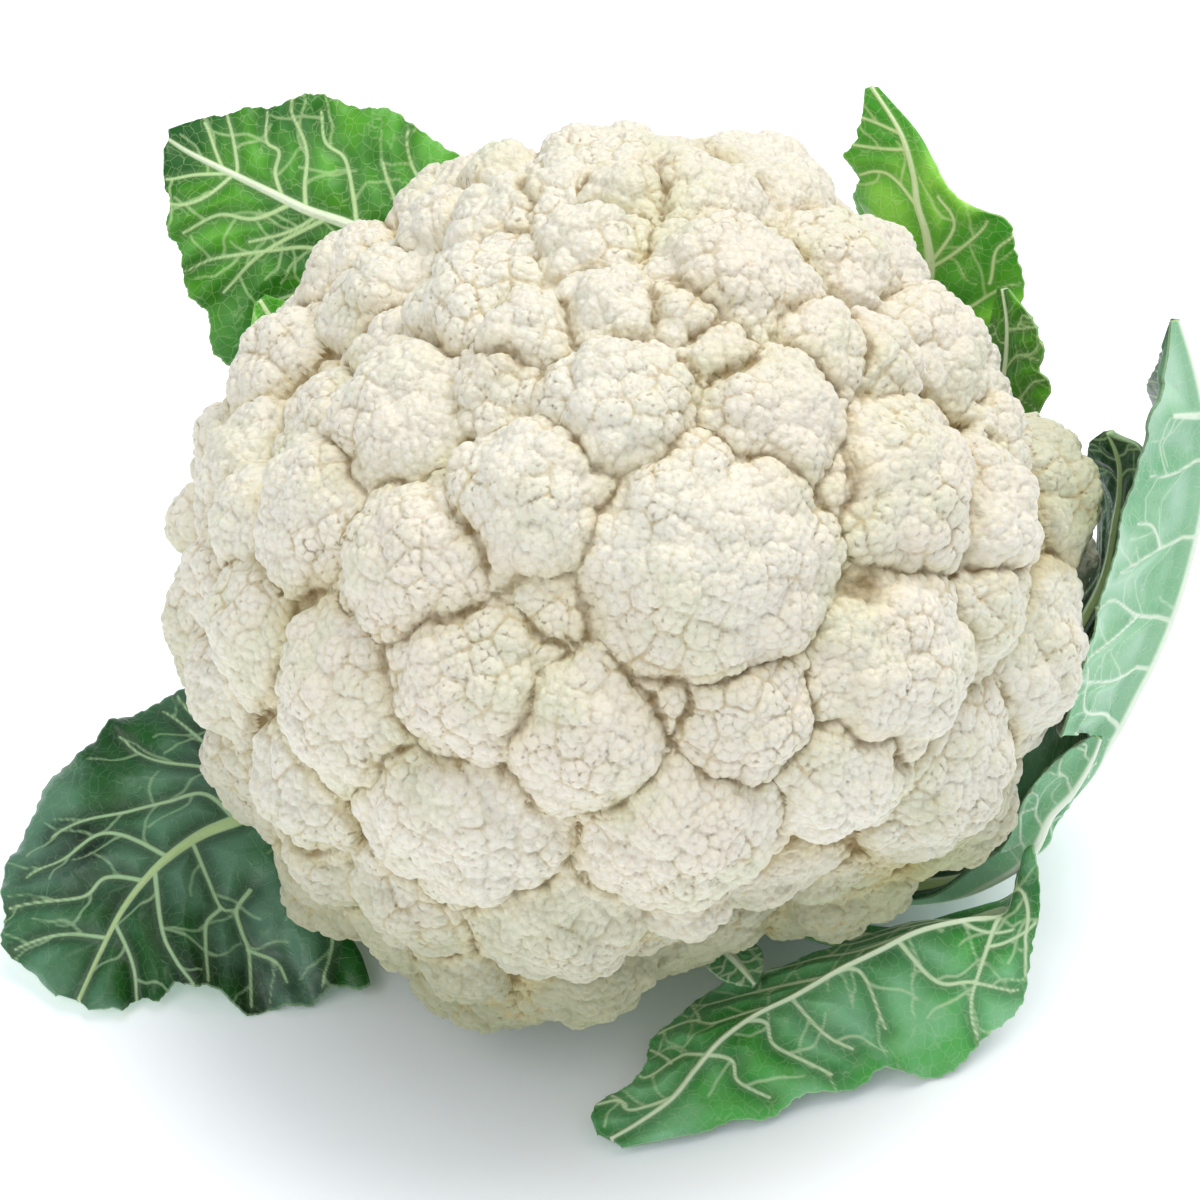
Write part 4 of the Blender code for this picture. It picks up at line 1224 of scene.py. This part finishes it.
def leaf_faces(upper, depth, measures, rib_height):
    """Points of the upper face, puckered between the veins, and of the lower one."""
    gap, twig_gap, midrib_gap, share = measures.values()
    normals = evened(grid_normals(upper))
    half = upper.shape[1] // 2
    stiff = np.clip(MIDRIB_STIFFNESS * depth / rib_height, 0.0, 1.0)[..., None]
    normals = normals * (1.0 - stiff) + normals[:, half:half + 1] * stiff
    away = np.maximum(gap, 0.0)
    inward = 1.0 - share ** FLAT_EDGE
    pucker = PUCKER_HEIGHT * (1.0 - np.exp(-((away / PUCKER_REACH) ** 2))) * inward
    quilt = 1.0 - np.exp(-((np.maximum(twig_gap, 0.0) / QUILT_REACH) ** 2))
    pucker += QUILT_HEIGHT * quilt * inward
    vein = np.exp(-((away / VEIN_SHOULDER) ** 2))
    blade = BLADE_THICKNESS * (1.0 - EDGE_THINNING * share ** THINNED_EDGE)
    ridge = MIDRIB_RAISE * np.sqrt(np.clip(-midrib_gap / MIDRIB_ROUNDING, 0.0, 1.0))
    top = upper + normals * (pucker + VEIN_RAISE_ABOVE * vein + ridge)[..., None]
    below = upper - normals * (blade + depth + VEIN_RAISE_BELOW * vein - pucker)[..., None]
    below[..., 2] = np.maximum(below[..., 2], LEAF_LOWEST)
    top[..., 2] = np.maximum(top[..., 2], LEAF_LOWEST + EDGE_THINNING)
    return np.vstack((top.reshape(-1, 3), below.reshape(-1, 3)))


def build_leaf(name, materials, slot, ruled, small=False, **changes):
    form = {**USUAL_BLADE, **changes}
    half = SMALL_HALF_COLUMNS if small else HALF_COLUMNS
    scale = SMALL_VEIN_SCALE if small else 1.0
    upper, depth, midrib_gap, share = leaf_grid(name, form, half)
    gap, twig_gap = leaf_gaps(name, upper, midrib_gap, half, ruled, scale)
    measures = {"vein_gap": gap, "twig_gap": twig_gap, "midrib_gap": midrib_gap, "share": share}
    points = leaf_faces(upper, depth, measures, form["rib_height"]) * MM
    faces = sheet_quads(*upper.shape[:2])
    mesh = bpy.data.meshes.new(name + "_fine")
    mesh.from_pydata(points.tolist(), [], np.vstack(faces).tolist())
    mesh.shade_smooth()
    lower_faces = np.zeros(sum(len(part) for part in faces), np.int32)
    lower_faces[len(faces[0]):len(faces[0]) + len(faces[1])] = 1
    mesh.polygons.foreach_set("material_index", lower_faces)
    for measure, values in measures.items():
        store(mesh, measure, np.tile(values.ravel(), 2))
    leaf_map(mesh, faces, *upper.shape[:2])
    add_piece(name, mesh, materials)


# Materials

def add(tree, kind, inputs=(), **settings):
    """Adds a shader node. Inputs are values, or the sockets that feed them."""
    node = tree.nodes.new(kind)
    for key, value in settings.items():
        setattr(node, key, value)
    for key, value in dict(inputs).items():
        if isinstance(value, bpy.types.NodeSocket):
            tree.links.new(value, node.inputs[key])
        else:
            node.inputs[key].default_value = value
    return node


def new_material(name, **values):
    material = bpy.data.materials.new(name)
    material.use_nodes = True
    shader = material.node_tree.nodes["Principled BSDF"]
    for socket, value in values.items():
        shader.inputs[socket.replace("_", " ")].default_value = value
    return material, material.node_tree, shader


def mixed(tree, factor, first, second):
    node = add(tree, "ShaderNodeMix", {0: factor, 6: first, 7: second}, data_type="RGBA")
    return node.outputs[2]


def ranged(tree, value, low, high, bottom=0.0, top=1.0):
    inputs = {0: value, 1: low, 2: high, 3: bottom, 4: top}
    return add(tree, "ShaderNodeMapRange", inputs, interpolation_type="SMOOTHSTEP").outputs[0]


def noise(tree, place, scale, detail=3.0):
    inputs = {"Vector": place, "Scale": scale, "Detail": detail}
    return add(tree, "ShaderNodeTexNoise", inputs).outputs["Fac"]


def patches(tree, place, scale, *limits):
    """Soft patches of a noise, between the limits of its values."""
    return ranged(tree, noise(tree, place, scale), *limits)


def cells(tree, place, scale, feature="F1"):
    node = add(tree, "ShaderNodeTexVoronoi", {"Vector": place, "Scale": scale}, feature=feature)
    return node.outputs["Distance"]


def product(tree, first, second):
    return add(tree, "ShaderNodeMath", {0: first, 1: second}, operation="MULTIPLY").outputs[0]


def here(tree):
    return add(tree, "ShaderNodeTexCoord").outputs["Object"]


def distance_from_middle(tree):
    return add(tree, "ShaderNodeVectorMath", {0: here(tree)}, operation="LENGTH").outputs["Value"]


def dress(tree, shader, tone, relief, strength, distance):
    """Gives a material its colour and its relief."""
    bump = add(tree, "ShaderNodeBump", {"Height": relief, "Strength": strength, "Distance": distance})
    tree.links.new(tone, shader.inputs["Base Color"])
    tree.links.new(bump.outputs[0], shader.inputs["Normal"])


def sum_of(tree, first, second):
    return add(tree, "ShaderNodeMath", {0: first, 1: second}, operation="ADD").outputs[0]


def read(tree, name):
    return add(tree, "ShaderNodeAttribute", attribute_name=name).outputs["Fac"]


def colour(display):
    """A display colour of 0 to 255 as the linear colour that a shader takes."""
    shares = [part / 255.0 for part in display]
    linear = [s / 12.92 if s <= 0.04045 else ((s + 0.055) / 1.055) ** 2.4 for s in shares]
    return (*linear, 1.0)


def curd_masks(tree, place):
    """How strongly each tint of the curd shows, from its form, its height and soft patches. Several are
    painted shade: in the creases, low on the head and by the leaves.
    """
    height = add(tree, "ShaderNodeSeparateXYZ", {0: place}).outputs["Z"]
    masks = {name: patches(tree, place, *values) for name, values in CURD_PATCHES.items()}
    # Tan at the borders of the granules and clumps, in the seams and in the creases: partly the curd's
    # own tan and partly painted shade
    for name, (measure, *limits) in CURD_MEASURES.items():
        masks[name] = ranged(tree, read(tree, measure), *limits)
    specks = ranged(tree, noise(tree, place, SPECK_SCALE, 1.0), *SPECK_RANGE)
    # Painted shade: the curd darker toward the bottom, with the lower florets' own green in it
    masks["low"] = ranged(tree, height, *CURD_SHADE_HEIGHTS)
    # An olive tint by the leaves: partly the curd's own green and partly painted shade
    masks["green_painted_shade"] = read(tree, "green_painted_shade")
    masks["hollow"] = read(tree, "hollow")
    masks["clump_patch"] = product(tree, masks["clump"], masks["patch"])
    masks["uneven_seam"] = product(tree, masks["seam"], patches(tree, place, *SEAM_UNEVENNESS))
    masks["specks"] = product(tree, product(tree, specks, masks["grain"]), masks["patch"])
    return masks


def curd_material():
    material, tree, shader = new_material(
        "curd_skin", Roughness=0.62, Subsurface_Weight=0.35, Subsurface_Scale=0.0022,
        Subsurface_Radius=(1.0, 0.75, 0.45), Specular_IOR_Level=0.32,
    )
    place = here(tree)
    masks = curd_masks(tree, place)
    skin = mixed(tree, masks["skin"], *[colour(tone) for tone in CURD_SKIN])
    # Several tints are painted shade: in the creases, low on the head and by the leaves; the rest are the
    # curd's own colours
    for name, share, tint in CURD_TINTS:
        skin = mixed(tree, product(tree, masks[name], share), skin, colour(tint))
    beads = ranged(tree, cells(tree, place, BEAD_SCALE), BEAD_SIZE, 0.0)
    relief = sum_of(tree, beads, noise(tree, place, SKIN_NOISE_SCALE))
    dress(tree, shader, skin, relief, strength=0.60, distance=0.0006)
    return material


def stem_materials():
    skin, tree, shader = new_material(
        "stem_skin", Roughness=0.5, Subsurface_Weight=0.15, Subsurface_Scale=0.002,
    )
    streaked = add(tree, "ShaderNodeMapping", {"Vector": here(tree), "Scale": STEM_STREAKS}).outputs[0]
    tone = mixed(tree, noise(tree, streaked, STEM_TONE_SCALE), *[colour(tone) for tone in STEM_SKIN])
    dress(tree, shader, tone, noise(tree, streaked, STEM_NOISE_SCALE), strength=0.3, distance=0.0004)
    cut, tree, shader = new_material("stem_cut", Roughness=0.7)
    ring = ranged(tree, distance_from_middle(tree), *CUT_RING)
    tone = mixed(tree, ring, *[colour(tone) for tone in CUT_FACE])
    spots = product(tree, noise(tree, here(tree), CUT_SPOT_SCALE), CUT_SPOT_SHARE)
    tone = mixed(tree, spots, tone, colour(CUT_SPOT_COLOUR))
    tree.links.new(tone, shader.inputs["Base Color"])
    return [skin, cut]


def vein_net(tree, place):
    """The finest veins of a leaf: a net of bent lines."""
    bent = add(tree, "ShaderNodeTexNoise", {"Vector": place, "Scale": NET_BEND_SCALE}).outputs["Color"]
    bent = add(tree, "ShaderNodeVectorMath", {0: bent, "Scale": NET_BEND}, operation="SCALE").outputs[0]
    bent = add(tree, "ShaderNodeVectorMath", {0: place, 1: bent}, operation="ADD").outputs[0]
    return ranged(tree, cells(tree, bent, NET_SCALE, "DISTANCE_TO_EDGE"), *NET_LINE)


def leaf_material(name):
    tones, (bloom_share, roughness, net_share) = LEAF_FACES[name]
    dark, bright, bloom, vein, rib = [colour(tone) for tone in tones]
    material, tree, shader = new_material(
        "leaf_" + name, Roughness=roughness, Specular_IOR_Level=0.38, Subsurface_Weight=0.10,
        Subsurface_Scale=0.001, Sheen_Weight=0.02, Sheen_Roughness=0.5,
    )
    place = here(tree)
    gap = read(tree, "vein_gap")
    # Painted light and shade: the bright patches fade to the dark tone in the valleys by the veins
    tone = product(tree, patches(tree, place, *TONE_PATCHES), ranged(tree, gap, *PUCKER_LIGHT_AND_SHADE))
    blade = mixed(tree, tone, dark, bright)
    scale, low, high = BLOOM_PATCHES
    # The leaf's own waxy bloom in patches, fuller on the bulges as a painted highlight
    bloom_and_painted_highlight = product(tree, ranged(tree, noise(tree, place, scale, BLOOM_DETAIL), low, high), bloom_share)
    bloom_and_painted_highlight = product(tree, bloom_and_painted_highlight, ranged(tree, gap, *BLOOM_HIGHLIGHT_ON_BULGES))
    blade = mixed(tree, bloom_and_painted_highlight, blade, bloom)
    net = vein_net(tree, place)
    blade = mixed(tree, product(tree, net, net_share), blade, vein)
    for measure, low, high, share in VEIN_TINTS:
        mask = product(tree, ranged(tree, read(tree, measure), low, high), share)
        blade = mixed(tree, mask, blade, vein)
    blade = mixed(tree, ranged(tree, read(tree, "midrib_gap"), *MIDRIB_TINT), blade, rib)
    relief = sum_of(tree, net, noise(tree, place, LEAF_NOISE_SCALE))
    dress(tree, shader, blade, relief, strength=0.35, distance=0.00025)
    return material


# Veins seen in the picture: pixels along each, from the midrib outward

VEINS = {
    "leaf_back_left": (
        ((399, 207), (387, 185), (381, 161)),
        ((358, 224), (356, 200), (342, 157), (328, 142), (324, 113)),
        ((306, 204), (302, 183), (307, 150), (295, 118), (295, 99)),
        ((281, 196), (273, 174), (276, 152), (264, 142), (266, 113)),
        ((234, 172), (235, 161), (225, 116)),
        ((222, 165), (212, 144), (203, 120)),
        ((357, 241), (329, 250), (294, 251), (219, 259), (183, 274)),
        ((314, 223), (290, 233), (248, 244)),
        ((287, 210), (254, 220), (220, 217), (183, 235)),
        ((227, 175), (192, 175), (163, 178)),
        ((226, 178), (199, 198), (168, 201)),
        ((333, 291), (303, 294), (274, 303)),
        ((300, 251), (264, 254), (225, 295)),
    ),
    "leaf_back_right": (
        ((934, 268), (948, 214), (936, 199)),
        ((949, 275), (987, 224)),
        ((989, 286), (994, 254), (1012, 237)),
        ((917, 209), (885, 174), (857, 178)),
        ((902, 149), (851, 147)),
        ((905, 137), (877, 126), (855, 121)),
    ),
    "leaf_back_right_small": (
        ((1009, 332), (1034, 326)),
    ),
    "leaf_right_inner": (
        ((1093, 441), (1107, 436), (1126, 443), (1139, 452)),
        ((1091, 478), (1111, 515), (1119, 535)),
    ),
    "leaf_right": (
        ((1191, 459), (1170, 472), (1148, 476)),
        ((1189, 415), (1172, 415), (1156, 400)),
        ((1181, 535), (1157, 548), (1119, 572)),
        ((1157, 548), (1148, 526), (1135, 524)),
        ((1161, 617), (1133, 615), (1111, 598), (1089, 607)),
        ((1133, 617), (1067, 659)),
        ((1141, 663), (1115, 678), (1078, 681)),
    ),
    "leaf_front_right": (
        ((815, 983), (861, 973), (888, 1029)),
        ((905, 948), (938, 980), (975, 985), (1015, 990)),
        ((935, 913), (975, 929), (1016, 932)),
        ((975, 926), (995, 894)),
        ((734, 1018), (764, 1021), (777, 1044), (831, 1072)),
        ((700, 1053), (732, 1058), (740, 1079), (770, 1095)),
        ((804, 1004), (825, 1031), (853, 1047)),
    ),
    "leaf_front_left": (
        ((233, 804), (204, 791), (163, 801), (110, 813), (51, 836)),
        ((167, 853), (110, 831), (62, 856), (25, 877)),
        ((143, 877), (105, 877), (79, 895), (8, 906)),
        ((102, 935), (61, 934), (15, 947)),
        ((241, 779), (217, 771), (149, 756), (120, 734)),
        ((245, 750), (214, 747), (163, 708)),
        ((196, 849), (209, 878), (221, 905), (238, 908)),
        ((221, 905), (209, 920), (207, 942), (210, 979)),
        ((156, 875), (162, 925), (171, 956), (189, 989)),
        ((116, 928), (131, 961), (140, 1002)),
        ((251, 889), (239, 908), (241, 930), (249, 951), (255, 1007)),
        ((248, 947), (275, 960), (288, 980)),
    ),
}


# Each leaf in the order of building: its tone and how its blade differs from the usual one
TALL_LEAVES = {
    "leaf_front_left": ("dark", {"rows": 22, "waves": 3.5, "wave_height": 2.0, "bulge": 1.0}),
    "leaf_front_right": ("middle", {"rows": 28, "wave_height": 1.0, "rib_height": 1.5, "rib_width": 3.2}),
    "leaf_back_left": ("bright", {"rows": 24, "waves": 4, "wave_height": 1.2}),
    "leaf_back_right": ("bright", {"rows": 22, "waves": 4, "wave_height": 1.5}),
    "leaf_right": ("grey", {"rows": 22, "wave_height": 0.8, "rib_height": 4.0, "ruffle": 0.25}),
}
SMALL_LEAVES = {
    "leaf_back": ("middle", {"rows": 14, "wave_height": 1.2}),
    "leaf_back_right_small": ("middle", {"rows": 14, "wave_height": 1.0}),
    "leaf_back_left_small": ("bright", {"rows": 12, "wave_height": 0.6}),
    "leaf_right_inner": ("dark", {"rows": 12, "wave_height": 0.6}),
    "leaf_right_low": ("grey", {"rows": 12, "wave_height": 0.4}),
    "leaf_under": ("middle", {"rows": 8, "wave_height": 0.3}),
}


def build_leaves():
    faces = {name: leaf_material(name) for name in LEAF_FACES}
    for name, (tone, changes) in (TALL_LEAVES | SMALL_LEAVES).items():
        small = name in SMALL_LEAVES
        if small:
            changes = {**changes, "waves": 2}
        materials = [faces[UPPER_FACES.get(name, tone) + "_above"], faces["below"]]
        ruled = SMALL_RULED_VEINS if small else RULED_VEINS[name]
        build_leaf(name, materials, "leaf_" + tone, ruled, small, **changes)


# Stage, lights and camera

def build_floor():
    mesh = bpy.data.meshes.new("floor")
    signs = ((-1, -1), (1, -1), (1, 1), (-1, 1))
    corners = [(FLOOR_SIZE * x, FLOOR_SIZE * y, 0.0) for x, y in signs]
    mesh.from_pydata(corners, [], [(0, 1, 2, 3)])
    material, tree, shader = new_material("floor_white", Roughness=1.0, Specular_IOR_Level=0.0)
    glow = ranged(tree, distance_from_middle(tree), FLOOR_GLOW_START, FLOOR_GLOW_FULL, 0.0, FLOOR_GLOW)
    tree.links.new(glow, shader.inputs["Emission Strength"])
    shader.inputs["Base Color"].default_value = FLOOR_COLOUR
    shader.inputs["Emission Color"].default_value = FLOOR_COLOUR
    mesh.materials.append(material)
    floor = bpy.data.objects.new("floor", mesh)
    bpy.context.scene.collection.objects.link(floor)


def area_light(name, place, aim, size, energy, tint):
    light = bpy.data.lights.new(name, "AREA")
    light.shape = "DISK"
    light.size = size
    light.energy = energy
    light.color = tint
    lamp = bpy.data.objects.new(name, light)
    lamp.location = place
    lamp.rotation_euler = (Vector(aim) - Vector(place)).to_track_quat("-Z", "Y").to_euler()
    bpy.context.scene.collection.objects.link(lamp)


def build_lights():
    world = bpy.data.worlds.new("white_room")
    world.use_nodes = True
    background = world.node_tree.nodes["Background"]
    background.inputs["Color"].default_value = WORLD_COLOUR
    background.inputs["Strength"].default_value = WORLD_STRENGTH
    bpy.context.scene.world = world
    for name, values in LIGHTS.items():
        area_light(name, *values)


def build_camera():
    data = bpy.data.cameras.new("camera")
    data.sensor_width = SENSOR_MM
    data.lens = PICTURE_FOCAL_PIXELS / PICTURE_PIXELS * SENSOR_MM
    data.clip_start = CAMERA_NEAR
    camera = bpy.data.objects.new("camera", data)
    camera.location = camera_eye() * MM
    _, _, back = camera_axes()
    camera.rotation_euler = Vector(-back).to_track_quat("-Z", "Y").to_euler()
    bpy.context.scene.collection.objects.link(camera)
    bpy.context.scene.camera = camera


def build():
    bpy.context.scene.view_settings.view_transform = "Standard"
    build_curd(curd_material())
    build_stem(stem_materials())
    build_leaves()
    build_floor()
    build_lights()
    build_camera()


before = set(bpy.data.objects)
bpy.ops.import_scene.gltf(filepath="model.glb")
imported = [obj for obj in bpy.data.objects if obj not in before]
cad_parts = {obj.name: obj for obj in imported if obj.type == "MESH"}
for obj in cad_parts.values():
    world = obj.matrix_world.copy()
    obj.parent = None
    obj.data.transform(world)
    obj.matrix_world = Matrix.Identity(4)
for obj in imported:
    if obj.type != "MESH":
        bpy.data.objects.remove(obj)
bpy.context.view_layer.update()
build()
